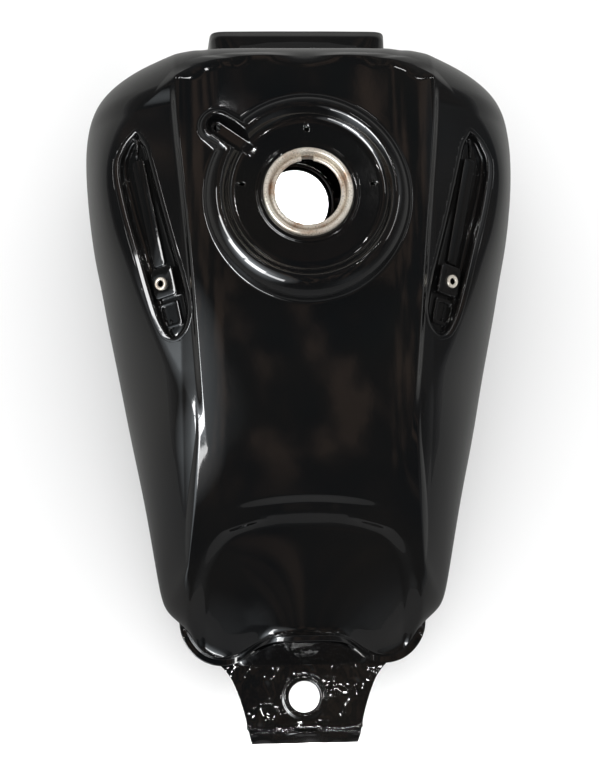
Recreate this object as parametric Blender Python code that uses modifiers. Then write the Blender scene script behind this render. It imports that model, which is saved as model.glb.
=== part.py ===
"""Motorcycle fuel tank: a welded steel tank body, metres, +Z up, +Y towards the front of the motorcycle.

The origin is at the centre of the tank's footprint, at the height of its lower seam.
Every dimension below is in millimetres and is turned to metres when the meshes are made.
"""

import math

import bmesh
import bpy
import numpy as np
from mathutils import Matrix, Vector

# ---------------------------------------------------------------- driving dimensions (mm)
SHEET = 1.2            # shell sheet thickness
SEAM_GAP = 1.3         # clear gap between the outer shell and the inner pressings at the seams
FIT = 0.35             # gap between pieces that touch

FILLER_X, FILLER_Y = 0.0, 125.0
NECK_HOLE_R = 34.8     # hole in the dish floor for the neck
NECK_OUTER_R = 34.0
NECK_LIP_R = 30.5
NECK_BORE_R = 25.0
NECK_TOP_Z = 243.0
NECK_BOTTOM_Z = 222.0
DISH_FLOOR_Z = 237.0
DISH_FLOOR_R = 58.0
CREST_R = 71.5
CREST_Z = 246.0
CAP_PCD_R = 50.0       # pitch radius of the three cap screws
CAP_SCREW_D = 5.2

GROOVE_ANGLE = math.radians(140.0)
GROOVE_END_R = 93.0
GROOVE_HALF = 8.5
DRAIN_HOLE_R = 4.2

SENDER_X, SENDER_Y, SENDER_R = -4.0, 147.0, 33.0

TAB_Z = 50.0
TAB_HOLE_Y = -253.0
TAB_HOLE_R = 13.0
TAB_THICK = 2.5

PAINT = (0.012, 0.013, 0.014, 1.0)
STEEL = (0.62, 0.60, 0.56, 1.0)
ZINC = (0.55, 0.56, 0.57, 1.0)

# Centreline height of the top pressing against y.
TOP_Y = [-215.0, -202.0, -190.0, -170.0, -150.0, -130.0, -112.0, -94.0, -80.0, -60.0, -40.0, -20.0,
         0.0, 20.0, 45.0, 75.0, 100.0, 125.0, 160.0, 190.0, 215.0, 240.0, 270.0]
TOP_Z = [86.0, 91.0, 96.0, 107.0, 121.0, 138.0, 152.0, 165.0, 174.5, 186.0, 196.0, 205.0,
         213.0, 220.0, 228.0, 233.0, 236.0, 238.0, 239.0, 238.5, 237.0, 235.0, 231.0]
# Centreline height of the scooped seat recess.
BOWL_Y = [-230.0, -215.0, -202.0, -190.0, -175.0, -160.0, -150.0, -140.0, -130.0, -120.0, -112.0, -100.0]
BOWL_Z = [84.0, 88.0, 92.0, 94.5, 98.5, 104.0, 109.5, 117.0, 127.0, 139.0, 147.0, 152.0]

# Loft stations of one half, from the rear centre round the side to the front centre:
# platform outline A, facet edge C, widest outline S, seam M, lip vector L, edge round width.
STATIONS = [
    # Ax,    Ay,     Cx,    Cy,     Sx,    Sy,     Sz,    Mx,    My,     Mz,    Lx,   Ly,   Lz,   W
    (0.0,   -94.0,  0.0,   -112.0, 0.0,   -202.0, 95.0,  0.0,   -203.0, 92.0,  0.0, -4.0, -2.0,  8.0),
    (16.0,  -94.3,  18.0,  -112.3, 18.0,  -202.2, 94.5,  18.0,  -203.2, 91.0,  0.5, -4.0, -2.0,  8.0),
    (26.0,  -95.3,  31.0,  -113.6, 29.0,  -203.2, 89.0,  29.3,  -204.6, 84.5,  1.5, -4.0, -2.0,  9.5),
    (34.0,  -96.2,  41.0,  -115.6, 39.0,  -207.4, 76.0,  40.0,  -209.4, 70.5,  2.0, -4.0, -1.5, 12.0),
    (41.0,  -97.2,  49.0,  -117.8, 48.0,  -213.6, 64.0,  49.0,  -216.0, 57.5,  1.5, -4.6, -0.7, 16.0),
    (49.0,  -98.6,  58.0,  -120.6, 60.0,  -218.6, 58.0,  60.5,  -220.8, 51.0,  0.0, -5.0,  0.0, 20.0),
    (57.0,  -100.4, 68.0,  -125.0, 74.0,  -218.4, 57.0,  75.0,  -220.4, 50.0,  1.5, -4.8,  0.0, 22.0),
    (64.0,  -101.6, 77.0,  -131.5, 86.0,  -211.6, 57.5,  88.0,  -213.0, 50.0,  3.6, -3.6,  0.0, 24.0),
    (69.0,  -101.0, 85.0,  -141.0, 94.5,  -199.5, 60.0,  96.5,  -200.0, 50.0,  4.4, -2.2,  0.0, 27.0),
    (71.5,  -98.0,  91.0,  -147.0, 104.0, -189.5, 62.0,  101.0, -188.0, 46.0,  2.6, -1.0, -3.6, 32.0),
    (73.2,  -92.0,  94.5,  -147.0, 113.0, -180.0, 64.0,  104.0, -176.0, 38.0,  0.8,  0.0, -7.0, 38.0),
    (74.5,  -84.0,  96.0,  -136.0, 118.0, -166.0, 66.5,  105.5, -160.0, 28.0,  0.0,  0.0, -9.0, 45.0),
    (76.0,  -72.0,  95.0,  -112.0, 122.5, -140.0, 72.0,  108.5, -135.0, 17.0,  0.0,  0.0, -9.0, 54.0),
    (78.0,  -52.0,  90.0,  -76.0,  130.5, -92.0,  81.0,  114.0, -90.0,  10.0,  0.0,  0.0, -9.0, 62.0),
    (80.2,  -24.0,  87.0,  -36.0,  140.0, -44.0,  88.5,  121.0, -44.0,  9.0,   0.0,  0.0, -9.0, 62.0),
    (82.4,  10.0,   103.0, 6.0,    149.5, 6.0,    94.5,  129.0, 4.0,    9.0,   0.0,  0.0, -9.0, 48.0),
    (85.0,  44.0,   123.0, 50.0,   158.0, 50.0,   98.0,  136.0, 50.0,   9.0,   0.0,  0.0, -9.0, 35.5),
    (87.0,  72.0,   133.5, 78.0,   163.0, 78.0,   99.8,  140.0, 78.0,   9.0,   0.0,  0.0, -9.0, 29.5),
    (88.9,  98.0,   141.5, 104.0,  168.0, 104.0,  101.2, 143.5, 104.0,  9.0,   0.0,  0.0, -9.0, 25.0),
    (90.9,  124.0,  147.5, 130.0,  171.6, 130.0,  102.8, 146.5, 130.0,  9.0,   0.0,  0.0, -9.0, 22.5),
    (93.2,  150.0,  150.5, 154.0,  174.0, 155.0,  104.0, 148.0, 154.0,  9.0,   0.0,  0.0, -9.0, 23.0),
    (94.9,  170.0,  147.0, 174.0,  175.2, 182.0,  106.5, 148.5, 180.0,  9.5,   0.0,  0.0, -9.0, 29.0),
    (96.4,  186.0,  137.0, 188.0,  174.6, 207.0,  109.0, 146.0, 206.0,  12.0,  0.0,  0.0, -9.0, 39.0),
    (97.8,  202.0,  124.0, 199.5,  168.5, 230.0,  111.0, 136.0, 229.0,  18.0,  0.0,  0.0, -9.0, 50.0),
    (96.0,  213.0,  113.0, 211.0,  153.0, 249.5,  112.5, 120.0, 243.0,  25.0,  0.0,  0.0, -9.0, 57.0),
    (89.0,  220.0,  103.0, 224.0,  132.0, 259.5,  114.0, 102.0, 249.0,  30.0,  0.0,  0.3, -9.0, 60.0),
    (80.0,  224.5,  94.0,  234.0,  112.0, 264.6,  117.0, 88.5,  252.5,  33.0,  0.0,  3.0, -8.5, 60.0),
    (71.0,  227.5,  85.0,  240.5,  98.0,  266.8,  121.0, 79.5,  255.0,  38.0,  0.0, 17.0, -4.0, 60.0),
    (62.0,  229.5,  77.0,  244.0,  88.0,  267.8,  127.0, 74.5,  259.0,  66.0,  0.0, 31.0,  0.0, 60.0),
    (53.5,  230.8,  70.0,  246.0,  80.0,  268.4,  135.0, 72.0,  262.5,  98.0,  0.0, 28.5,  0.0, 60.0),
    (45.0,  231.6,  62.0,  247.2,  71.0,  268.8,  143.0, 68.5,  265.5,  127.0, 0.0, 25.5, -6.0, 60.0),
    (36.0,  232.2,  52.0,  247.8,  60.0,  269.2,  148.5, 60.0,  267.5,  144.5, 0.0, 23.5, -12.0, 60.0),
    (26.0,  232.6,  40.0,  248.2,  47.0,  269.6,  151.0, 47.5,  268.2,  150.0, 0.0, 22.8, -13.4, 60.0),
    (13.5,  232.8,  22.0,  248.4,  25.0,  269.9,  151.6, 25.0,  268.5,  151.2, 0.0, 22.5, -13.8, 60.0),
    (0.0,   233.0,  0.0,   248.5,  0.0,   270.0,  151.8, 0.0,   268.6,  151.4, 0.0, 22.4, -14.0, 60.0),
]

POCKET = [(117.0, 173.0), (129.0, 182.0), (139.0, 173.5), (145.5, 158.0), (145.0, 143.0), (138.5, 118.0),
          (131.5, 92.0), (124.5, 60.0), (118.0, 36.0), (110.5, 24.0), (101.5, 22.5), (94.0, 31.0),
          (91.5, 43.0), (95.5, 66.0), (105.0, 107.0), (113.0, 146.0)]
POCKET_DEPTH = 9.0
PAD_X, PAD_Y = 111.0, 64.0


# ---------------------------------------------------------------- shape of the top pressing
def smoothstep(a, b, v):
    t = np.clip((v - a) / (b - a), 0.0, 1.0)
    return t * t * (3.0 - 2.0 * t)


def smooth_max(a, b, k):
    h = np.clip(0.5 + 0.5 * (a - b) / k, 0.0, 1.0)
    return b + (a - b) * h + k * h * (1.0 - h)


def smooth_min(a, b, k):
    return -smooth_max(-a, -b, k)


def crease_x(y):
    """Half width of the platform, where the side facet steps down."""
    return np.interp(y, [-100.0, -24.0, 10.0, 118.0, 204.0, 260.0], [73.0, 80.2, 82.4, 90.4, 98.0, 99.0])


def platform(x, y):
    """Crowned top surface with the stepped side facets."""
    ax = np.abs(x)
    z = np.interp(y, TOP_Y, TOP_Z) - 0.0003 * x * x
    edge = np.clip((ax - 62.0) / 26.0, 0.0, 1.3)
    z = z - 4.5 * edge * edge * smoothstep(-130.0, -60.0, y)
    step = 4.5 * smoothstep(-40.0, 0.0, y) * (1.0 - smoothstep(196.0, 214.0, y))
    xc = crease_x(y)
    z = z - step * smoothstep(0.0, 4.5, ax - xc)
    slope = 0.52 * smoothstep(-70.0, 10.0, y)
    return z - slope * np.clip(ax - xc, 0.0, 200.0)


def seat_recess(x, y, z):
    """Steps down behind the platform and scoops out the recess for the nose of the seat."""
    ax = np.abs(x)
    floor = np.interp(y, BOWL_Y, BOWL_Z)
    sag = np.interp(y, [-225.0, -205.0, -185.0, -165.0, -150.0, -120.0], [-34.0, -26.0, -14.0, -5.0, 0.0, 4.0])
    floor = floor + sag * (ax / 60.0) ** 2
    half = np.interp(y, [-230.0, -190.0, -166.0, -143.0, -122.0, -112.0], [99.0, 97.0, 93.5, 86.5, 70.0, 40.0])
    rim_y = -109.0 - 5.0 * (ax / 50.0) ** 2
    inside = np.minimum(rim_y - y, (half - ax) * 0.85)
    t = smoothstep(0.0, 17.0, inside)
    return z * (1.0 - t) + np.minimum(floor, z + 1.0) * t


def turret(x, y, z):
    """Raised ring round the filler with the cap dish inside it, and the drain groove."""
    dx, dy = x - FILLER_X, y - FILLER_Y
    r = np.hypot(dx, dy)
    ring = CREST_Z - np.interp(r, [0.0, 73.0, 76.0, 79.0, 83.0, 88.0, 94.0, 104.0, 112.0],
                               [0.0, 0.0, 1.0, 3.4, 9.0, 17.0, 27.0, 46.0, 400.0])
    z = smooth_max(z, ring, 3.0)
    floor = DISH_FLOOR_Z + np.interp(r, [0.0, 37.8, 39.4, 58.0, 60.5, 64.0, 67.5, 70.5, 72.0],
                                     [-1.2, -1.2, 0.0, 0.0, 0.7, 4.6, 7.8, 8.9, 12.0])
    z = np.where(r < 74.0, smooth_min(z, floor, 0.4), z)
    along = dx * math.cos(GROOVE_ANGLE) + dy * math.sin(GROOVE_ANGLE)
    across = -dx * math.sin(GROOVE_ANGLE) + dy * math.cos(GROOVE_ANGLE)
    over = np.maximum(along - (GROOVE_END_R - GROOVE_HALF), 0.0)
    d = np.hypot(over, across)
    bed = np.interp(along, [50.0, 62.0, GROOVE_END_R], [DISH_FLOOR_Z, DISH_FLOOR_Z - 0.5, 230.5])
    groove = bed + 15.0 * smoothstep(GROOVE_HALF - 4.5, GROOVE_HALF + 3.5, d)
    return np.where((along > 52.0) & (d < GROOVE_HALF + 3.5), smooth_min(z, groove, 1.5), z)


def outline_data():
    s = np.array(STATIONS)
    right = s[:, 4:7]
    left = right[1:-1][::-1] * np.array([-1.0, 1.0, 1.0])
    loop = np.vstack([right, left])
    width = np.concatenate([s[:, 13], s[1:-1, 13][::-1]])
    return loop, width


OUTLINE, ROUND_W = outline_data()


def edge_drop(x, y, z):
    """Rounds the surface down to the widest outline, as a quarter ellipse across the edge width."""
    p = np.stack([np.ravel(x), np.ravel(y)], 1)
    a = OUTLINE[:, :2]
    b = np.roll(a, -1, 0)
    ab = b - a
    t = np.clip(((p[:, None] - a) * ab).sum(2) / (ab * ab).sum(1), 0.0, 1.0)
    near = a + t[..., None] * ab
    dist = np.hypot(near[..., 0] - p[:, None, 0], near[..., 1] - p[:, None, 1])
    i = dist.argmin(1)
    n = np.arange(len(p))
    j = (i + 1) % len(a)
    f = t[n, i]
    zs = OUTLINE[i, 2] * (1 - f) + OUTLINE[j, 2] * f
    w = ROUND_W[i] * (1 - f) + ROUND_W[j] * f
    s = np.clip(dist[n, i] / w, 0.0, 1.0).reshape(np.shape(x))
    zs = zs.reshape(np.shape(x))
    return zs + (z - zs) * np.sqrt(np.clip(1.0 - (1.0 - s) ** 2, 0.0, 1.0))


def top_height(x, y):
    x, y = np.asarray(x, float), np.asarray(y, float)
    z = seat_recess(x, y, platform(x, y))
    return turret(x, y, edge_drop(x, y, z))


# ---------------------------------------------------------------- scene helpers
def clear_scene():
    for obj in list(bpy.data.objects):
        bpy.data.objects.remove(obj, do_unlink=True)


clear_scene()
PARTS = bpy.data.collections.new("motorcycle_fuel_tank")
CUTTERS = bpy.data.collections.new("cutters")
bpy.context.scene.collection.children.link(PARTS)
bpy.context.scene.collection.children.link(CUTTERS)


def material(name, colour, metallic, roughness):
    mat = bpy.data.materials.new(name)
    mat.use_nodes = True
    shader = mat.node_tree.nodes["Principled BSDF"]
    shader.inputs["Base Color"].default_value = colour
    shader.inputs["Metallic"].default_value = metallic
    shader.inputs["Roughness"].default_value = roughness
    return mat


def add(name, mesh, colour=PAINT, metallic=0.0, roughness=0.12):
    obj = bpy.data.objects.new(name, mesh)
    PARTS.objects.link(obj)
    mesh.materials.append(material(name + "_finish", colour, metallic, roughness))
    return obj


def mesh_of(name, points_mm, faces):
    mesh = bpy.data.meshes.new(name)
    mesh.from_pydata([tuple(float(c) * 0.001 for c in p) for p in points_mm], [], [tuple(f) for f in faces])
    mesh.update()
    return mesh


def solidify(obj, thickness, offset=-1.0):
    mod = obj.modifiers.new("sheet", "SOLIDIFY")
    mod.thickness = thickness * 0.001
    mod.offset = offset
    mod.use_even_offset = False
    return mod


def cutter(obj):
    for coll in list(obj.users_collection):
        coll.objects.unlink(obj)
    CUTTERS.objects.link(obj)
    obj.hide_render = True
    obj.display_type = "WIRE"
    return obj


def cut(obj, tool, operation="DIFFERENCE"):
    mod = obj.modifiers.new("cut_" + tool.name, "BOOLEAN")
    mod.operation = operation
    mod.solver = "EXACT"
    mod.object = tool
    return mod


def rod(name, radius, length, place, axis=(0, 0, 1), sides=20):
    """A plain cylinder centred at place, along axis."""
    bm = bmesh.new()
    bmesh.ops.create_cone(bm, cap_ends=True, segments=sides, radius1=radius * 0.001, radius2=radius * 0.001,
                          depth=length * 0.001)
    mesh = bpy.data.meshes.new(name)
    bm.to_mesh(mesh)
    bm.free()
    turn = Vector((0, 0, 1)).rotation_difference(Vector(axis).normalized()).to_matrix().to_4x4()
    mesh.transform(Matrix.Translation(Vector(place) * 0.001) @ turn @ Matrix.Rotation(math.radians(7.3), 4, "Z"))
    return mesh


def block(name, size, place, turn=None):
    bm = bmesh.new()
    bmesh.ops.create_cube(bm, size=1.0)
    mesh = bpy.data.meshes.new(name)
    bm.to_mesh(mesh)
    bm.free()
    mesh.transform(Matrix.Diagonal((size[0] * 0.001, size[1] * 0.001, size[2] * 0.001, 1.0)))
    if turn is not None:
        mesh.transform(turn)
    mesh.transform(Matrix.Translation(Vector(place) * 0.001))
    return mesh


def prism(name, outline, low, high):
    n = len(outline)
    pts = [(x, y, low) for x, y in outline] + [(x, y, high) for x, y in outline]
    faces = [tuple(range(n))[::-1], tuple(range(n, 2 * n))]
    faces += [(i, (i + 1) % n, n + (i + 1) % n, n + i) for i in range(n)]
    mesh = mesh_of(name, pts, faces)
    bm = bmesh.new()
    bm.from_mesh(mesh)
    bmesh.ops.recalc_face_normals(bm, faces=bm.faces)
    bm.to_mesh(mesh)
    bm.free()
    return mesh


def turned(name, profile, place, steps=36, axis=(0, 0, 1), **finish):
    """A closed profile of (radius, height) pairs turned round its axis; it runs down its outer side."""
    mesh = bpy.data.meshes.new(name)
    n = len(profile)
    mesh.from_pydata([(r * 0.001, 0.0, z * 0.001) for r, z in profile], [(i, (i + 1) % n) for i in range(n)], [])
    obj = add(name, mesh, **finish)
    mod = obj.modifiers.new("turn", "SCREW")
    mod.steps = mod.render_steps = steps
    mod.use_merge_vertices = True
    mod.merge_threshold = 0.00001
    mod.axis = "Z"
    obj.rotation_mode = "QUATERNION"
    obj.rotation_quaternion = Vector((0, 0, 1)).rotation_difference(Vector(axis).normalized())
    obj.location = Vector(place) * 0.001
    return obj


def tube(name, path, outer, wall, **finish):
    curve = bpy.data.curves.new(name, "CURVE")
    curve.dimensions = "3D"
    spline = curve.splines.new("POLY")
    spline.points.add(len(path) - 1)
    for point, p in zip(spline.points, path):
        point.co = (p[0] * 0.001, p[1] * 0.001, p[2] * 0.001, 1.0)
    curve.bevel_depth = outer * 0.001
    curve.bevel_resolution = 2
    curve.use_fill_caps = False
    guide = bpy.data.objects.new(name + "_guide", curve)
    PARTS.objects.link(guide)
    graph = bpy.context.evaluated_depsgraph_get()
    mesh = bpy.data.meshes.new_from_object(guide.evaluated_get(graph))
    mesh.transform(guide.matrix_world)
    bpy.data.objects.remove(guide, do_unlink=True)
    bm = bmesh.new()
    bm.from_mesh(mesh)
    bmesh.ops.remove_doubles(bm, verts=bm.verts, dist=0.00001)
    bmesh.ops.recalc_face_normals(bm, faces=bm.faces)
    bm.to_mesh(mesh)
    bm.free()
    mesh.name = name
    obj = add(name, mesh, **finish)
    solidify(obj, wall, -1.0)
    return obj


def ring_faces(rings, n, closed=True):
    faces = []
    for j in range(rings - 1):
        for k in range(n if closed else n - 1):
            a, b = j * n + k, j * n + (k + 1) % n
            faces.append((a, b, b + n, a + n))
    return faces


def mirrored(rows):
    """Values of the right half followed by those of the left half, back to the rear centre."""
    rows = np.asarray(rows, float)
    left = rows[1:-1][::-1].copy()
    left[:, 0] *= -1.0
    return np.vstack([rows, left])


ST = np.array(STATIONS)
A = mirrored(ST[:, 0:2])
C = mirrored(ST[:, 2:4])
S = mirrored(ST[:, 4:7])
M = mirrored(ST[:, 7:10])
L = mirrored(ST[:, 10:13])
COUNT = len(A)


# ---------------------------------------------------------------- outer shell
def outer_shell():
    centre = np.array([FILLER_X, FILLER_Y])
    out = A - centre
    out /= np.linalg.norm(out, axis=1)[:, None]
    rings = []

    def put(xy):
        rings.append(np.column_stack([xy, top_height(xy[:, 0], xy[:, 1])]))

    for r in (NECK_HOLE_R, 38.4, 39.7, 57.5, 62.0, 66.0, 71.5, 76.5, 81.5, 87.0):
        put(centre + out * r)
    start = centre + out * 87.0
    for t in (0.36, 0.7, 1.0):
        put(start + (A - start) * t)
    side = np.roll(A, -1, 0) - np.roll(A, 1, 0)
    normal = np.column_stack([side[:, 1], -side[:, 0]])
    normal /= np.linalg.norm(normal, axis=1)[:, None]
    b = A + normal * 4.6
    put(b)
    for t in (0.5, 1.0):
        put(b + (C - b) * t)
    for t in (0.34, 0.64, 0.86):
        q = math.sin(t * math.pi / 2)
        put(C + (S[:, :2] - C) * q)
    rings.append(S.copy())
    for t in (0.42, 0.75, 1.0):
        u = t * math.pi / 2
        xy = S[:, :2] + (M[:, :2] - S[:, :2]) * (1 - math.cos(u))
        z = S[:, 2] - (S[:, 2] - M[:, 2]) * math.sin(u)
        rings.append(np.column_stack([xy, z]))
    rings.append(M + L)
    pts = np.vstack(rings)
    faces = [f[::-1] for f in ring_faces(len(rings), COUNT)]
    obj = add("outer_shell", mesh_of("outer_shell", pts, faces))
    solidify(obj, SHEET, -1.0)
    return obj


shell = outer_shell()
for side, sx in (("left", -1.0), ("right", 1.0)):
    outline = [(sx * x, y) for x, y in POCKET]
    tool = bpy.data.objects.new("pocket_cut_" + side, prism("pocket_cut_" + side, outline, 150.0, 260.0))
    CUTTERS.objects.link(tool)
    cut(shell, cutter(tool))


# ---------------------------------------------------------------- holes through the outer shell
CAP_SCREWS = (("left", 172.0), ("front", 90.0), ("right", 8.0))


def cap_place(angle):
    return (FILLER_X + CAP_PCD_R * math.cos(math.radians(angle)), FILLER_Y + CAP_PCD_R * math.sin(math.radians(angle)))


for side, angle in CAP_SCREWS:
    cx, cy = cap_place(angle)
    tool = bpy.data.objects.new("cap_hole_" + side, rod("cap_hole_" + side, CAP_SCREW_D / 2, 16.0, (cx, cy, DISH_FLOOR_Z), sides=12))
    CUTTERS.objects.link(tool)
    cut(shell, cutter(tool))
DRAIN_X = FILLER_X + (GROOVE_END_R - GROOVE_HALF) * math.cos(GROOVE_ANGLE)
DRAIN_Y = FILLER_Y + (GROOVE_END_R - GROOVE_HALF) * math.sin(GROOVE_ANGLE)
tool = bpy.data.objects.new("drain_cut", rod("drain_cut", DRAIN_HOLE_R, 40.0, (DRAIN_X, DRAIN_Y, 230.0), sides=16))
CUTTERS.objects.link(tool)
cut(shell, cutter(tool))

# ---------------------------------------------------------------- inner pressings
TANGENT = np.roll(M, -1, 0) - np.roll(M, 1, 0)
INWARD = np.cross(TANGENT, L)
INWARD /= np.linalg.norm(INWARD, axis=1)[:, None]
FIRST_PAN, LAST_PAN = 5, 27                     # stations between which the bottom pans meet the seam
FOOT_Y = [-200.0, -196.5, -192.0, -186.0, -178.0, -166.0, -150.0, -122.0, -86.0, -44.0, 4.0, 50.0, 78.0,
          104.0, 130.0, 154.0, 180.0, 204.0, 222.0, 233.0, 240.0, 244.5, 248.0]
FRONT_ARCH = [tuple((M + INWARD * (SHEET + SEAM_GAP))[i][[0, 2]]) for i in range(len(ST) - 1, LAST_PAN - 1, -1)]
REAR_ARCH = [(0.0, 49.6), (10.0, 49.6), (20.0, 49.5), (29.0, 49.4), (37.0, 49.2), (44.0, 48.6), (50.0, 47.0), (55.0, 42.0)]


def tunnel_section(y):
    """Half section of the tunnel's upper face at y: from the centre of the roof down to the foot."""
    s = min(max((248.0 - y) / 448.0, 0.0), 1.0)
    pts = []
    for i, (f, r) in enumerate(zip(FRONT_ARCH, REAR_ARCH)):
        v = i / (len(FRONT_ARCH) - 1.0)
        x = f[0] * (1 - s) + r[0] * s
        z = f[1] * (1 - s) + r[1] * s - 28.0 * math.sin(math.pi * s) * v ** 4
        pts.append((x, z))
    return pts


def tunnel_shell():
    rows = []
    ys = [290.6, 268.0] + FOOT_Y[::-1] + [-221.0]
    for y in ys:
        half = tunnel_section(y)
        if y < -210.0:                       # the rear end is drawn back beside the lobes
            ends = [-221.0, -221.0, -221.0, -220.5, -218.0, -213.0, -207.0, -203.0]
            rows.append([(-x, e, z) for (x, z), e in list(zip(half, ends))[::-1][:-1]] + [(x, e, z) for (x, z), e in zip(half, ends)])
            continue
        if y > 280.0:                        # the front end follows the sloping collar
            half = [(x, z - 14.0 * float(smoothstep(110.0, 146.0, z))) for x, z in half]
            half = half[:-2] + [(half[-2][0], half[-2][1] + 8.0), (half[-2][0] + 0.3, half[-2][1] + 1.0)]
        elif y > 260.0:
            half = half[:-1] + [(half[-1][0], half[-1][1] - 2.0)]
        rows.append([(-x, y, z) for x, z in half[::-1][:-1]] + [(x, y, z) for x, z in half])
    n = len(rows[0])
    faces = [f[::-1] for f in ring_faces(len(rows), n, closed=False)]
    obj = add("tunnel_shell", mesh_of("tunnel_shell", [p for row in rows for p in row], faces))
    solidify(obj, SHEET, -1.0)
    return obj


def pan_lines():
    """For each seam station of the right pan: lip end, seam corner, floor points, foot corner, foot lip."""
    lines = []
    for k in range(FIRST_PAN, LAST_PAN + 1):
        y = FOOT_Y[k - FIRST_PAN]
        half = tunnel_section(y)
        (x6, z6), (x7, z7) = half[-2], half[-1]
        d = np.array([x7 - x6, z7 - z6])
        d /= np.linalg.norm(d)
        out = np.array([-d[1], d[0]])
        foot = np.array([x7, z7]) - d * 6.0 + out * 1.0
        low = np.array([x7, z7]) + out * 1.0
        foot, low = np.array([foot[0], y, foot[1]]), np.array([low[0], y, low[1]])
        clear = SHEET + SEAM_GAP + (1.3 if 9 <= k <= 10 else 0.0)
        corner = M[k] + INWARD[k] * clear
        lip = corner + L[k] * 0.95
        if k == LAST_PAN:
            corner = foot + np.array([1.0, 3.0, -2.0])
            lip = low + np.array([1.2, 4.0, -2.5])
        line = [lip, corner]
        for t in (0.3, 0.65):
            p = corner + (foot - corner) * t
            p[2] = corner[2] + (foot[2] - corner[2]) * t ** 1.4
            line.append(p)
        lines.append(line + [foot, low])
    return np.array(lines)


PAN = pan_lines()


def bottom_pan(name, sx):
    count, n = PAN.shape[:2]
    pts = (PAN * np.array([sx, 1.0, 1.0])).reshape(-1, 3)
    faces = ring_faces(count, n, closed=False)
    if sx > 0:
        faces = [f[::-1] for f in faces]
    obj = add(name, mesh_of(name, pts, faces))
    solidify(obj, SHEET, -1.0)
    return obj


tunnel = tunnel_shell()
pans = {"left": bottom_pan("left_bottom_pan", -1.0), "right": bottom_pan("right_bottom_pan", 1.0)}

# ---------------------------------------------------------------- sender opening
SLOPE = math.atan2(FRONT_ARCH[0][1] - REAR_ARCH[0][1], 448.0)
SENDER_AXIS = (0.0, -math.sin(SLOPE), math.cos(SLOPE))
SENDER_Z = tunnel_section(SENDER_Y)[0][1]
SENDER_C = Vector((SENDER_X, SENDER_Y, SENDER_Z))
tool = bpy.data.objects.new("sender_cut", rod("sender_cut", SENDER_R, 30.0, SENDER_C, SENDER_AXIS, sides=32))
CUTTERS.objects.link(tool)
cut(tunnel, cutter(tool))
turned("sender_ring", [(43.0, 2.0), (43.5, 1.5), (43.5, -1.5), (43.0, -2.0), (33.4, -2.0), (33.0, -1.5), (33.0, 1.5), (33.4, 2.0)],
       SENDER_C - Vector(SENDER_AXIS) * 7.0, steps=32, axis=SENDER_AXIS, colour=ZINC, metallic=0.9, roughness=0.4)
turn = Vector((0, 0, 1)).rotation_difference(Vector(SENDER_AXIS))
for i in range(4):
    a = math.radians(45.0 + 90.0 * i)
    spot = SENDER_C + turn @ Vector((38.2 * math.cos(a), 38.2 * math.sin(a), -17.6))
    add("sender_stud_%d" % (i + 1), rod("sender_stud", 2.5, 16.0, spot, SENDER_AXIS, sides=12), ZINC, 0.9, 0.35)

# ---------------------------------------------------------------- filler neck and cap nuts
turned("filler_neck",
       [(33.2, NECK_TOP_Z), (NECK_OUTER_R, NECK_TOP_Z - 0.9), (NECK_OUTER_R, 232.0), (30.0, 229.5), (27.4, NECK_BOTTOM_Z),
        (25.8, NECK_BOTTOM_Z), (NECK_BORE_R + 0.3, 237.6), (NECK_BORE_R + 0.8, 238.6), (29.9, 238.6),
        (NECK_LIP_R, 239.3), (NECK_LIP_R, NECK_TOP_Z - 0.7), (31.2, NECK_TOP_Z)],
       (FILLER_X, FILLER_Y, 0.0), steps=40, colour=STEEL, metallic=1.0, roughness=0.35)
for side, angle in CAP_SCREWS:
    cx, cy = cap_place(angle)
    turned("cap_screw_nut_" + side, [(5.6, 5.0), (6.0, 4.5), (6.0, 0.5), (5.5, 0.0), (2.5, 0.0), (2.5, 5.0)],
           (cx, cy, DISH_FLOOR_Z - SHEET - FIT - 5.0), steps=18, colour=ZINC, metallic=0.9, roughness=0.4)


# ---------------------------------------------------------------- side pockets
def inset(outline, d):
    """Moves each corner of a convex outline inwards by about d."""
    pts = [Vector(p) for p in outline]
    out = []
    for i, p in enumerate(pts):
        a = (p - pts[i - 1]).normalized()
        b = (pts[(i + 1) % len(pts)] - p).normalized()
        n = Vector((a.y + b.y, -a.x - b.x)).normalized()
        out.append((p + n * d / max(0.6, n.dot(Vector((a.y, -a.x))))).to_tuple())
    return out


def facet_z(x, y):
    return float(top_height(np.array([abs(x)]), np.array([y]))[0])


def facet_plane():
    """Plane through the facet round the pocket, so that the tray floor is flat."""
    pts = np.array([(x, y, facet_z(x, y)) for x, y in POCKET])
    a = np.column_stack([pts[:, 0], pts[:, 1], np.ones(len(pts))])
    return np.linalg.lstsq(a, pts[:, 2], rcond=None)[0]


PX, PY, PC = facet_plane()


def floor_z(x, y):
    return PX * abs(x) + PY * y + PC - POCKET_DEPTH


def pocket_tray(name, sx):
    rim = inset(POCKET, FIT + SHEET + 0.2)
    wall = inset(POCKET, FIT + SHEET + 1.4)
    low = inset(POCKET, FIT + SHEET + 2.6)
    rings = [[(x, y, facet_z(x, y) - 0.4) for x, y in rim],
             [(x, y, facet_z(x, y) - 3.0) for x, y in wall],
             [(x, y, floor_z(x, y)) for x, y in low]]
    n = len(rim)
    pts = [(sx * x, y, z) for ring in rings for x, y, z in ring]
    faces = ring_faces(3, n)
    faces.append(tuple(range(2 * n, 3 * n)))
    mesh = mesh_of(name, pts, faces)
    bm = bmesh.new()
    bm.from_mesh(mesh)
    bmesh.ops.recalc_face_normals(bm, faces=bm.faces)
    bm.faces.ensure_lookup_table()
    if bm.faces[-1].normal.z < 0:
        bmesh.ops.reverse_faces(bm, faces=bm.faces)
    bm.to_mesh(mesh)
    bm.free()
    obj = add(name, mesh)
    solidify(obj, SHEET, -1.0)
    return obj


AXIS_A, AXIS_B = Vector((103.0, 32.0)), Vector((130.0, 168.0))   # centreline of the bracket strip


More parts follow.
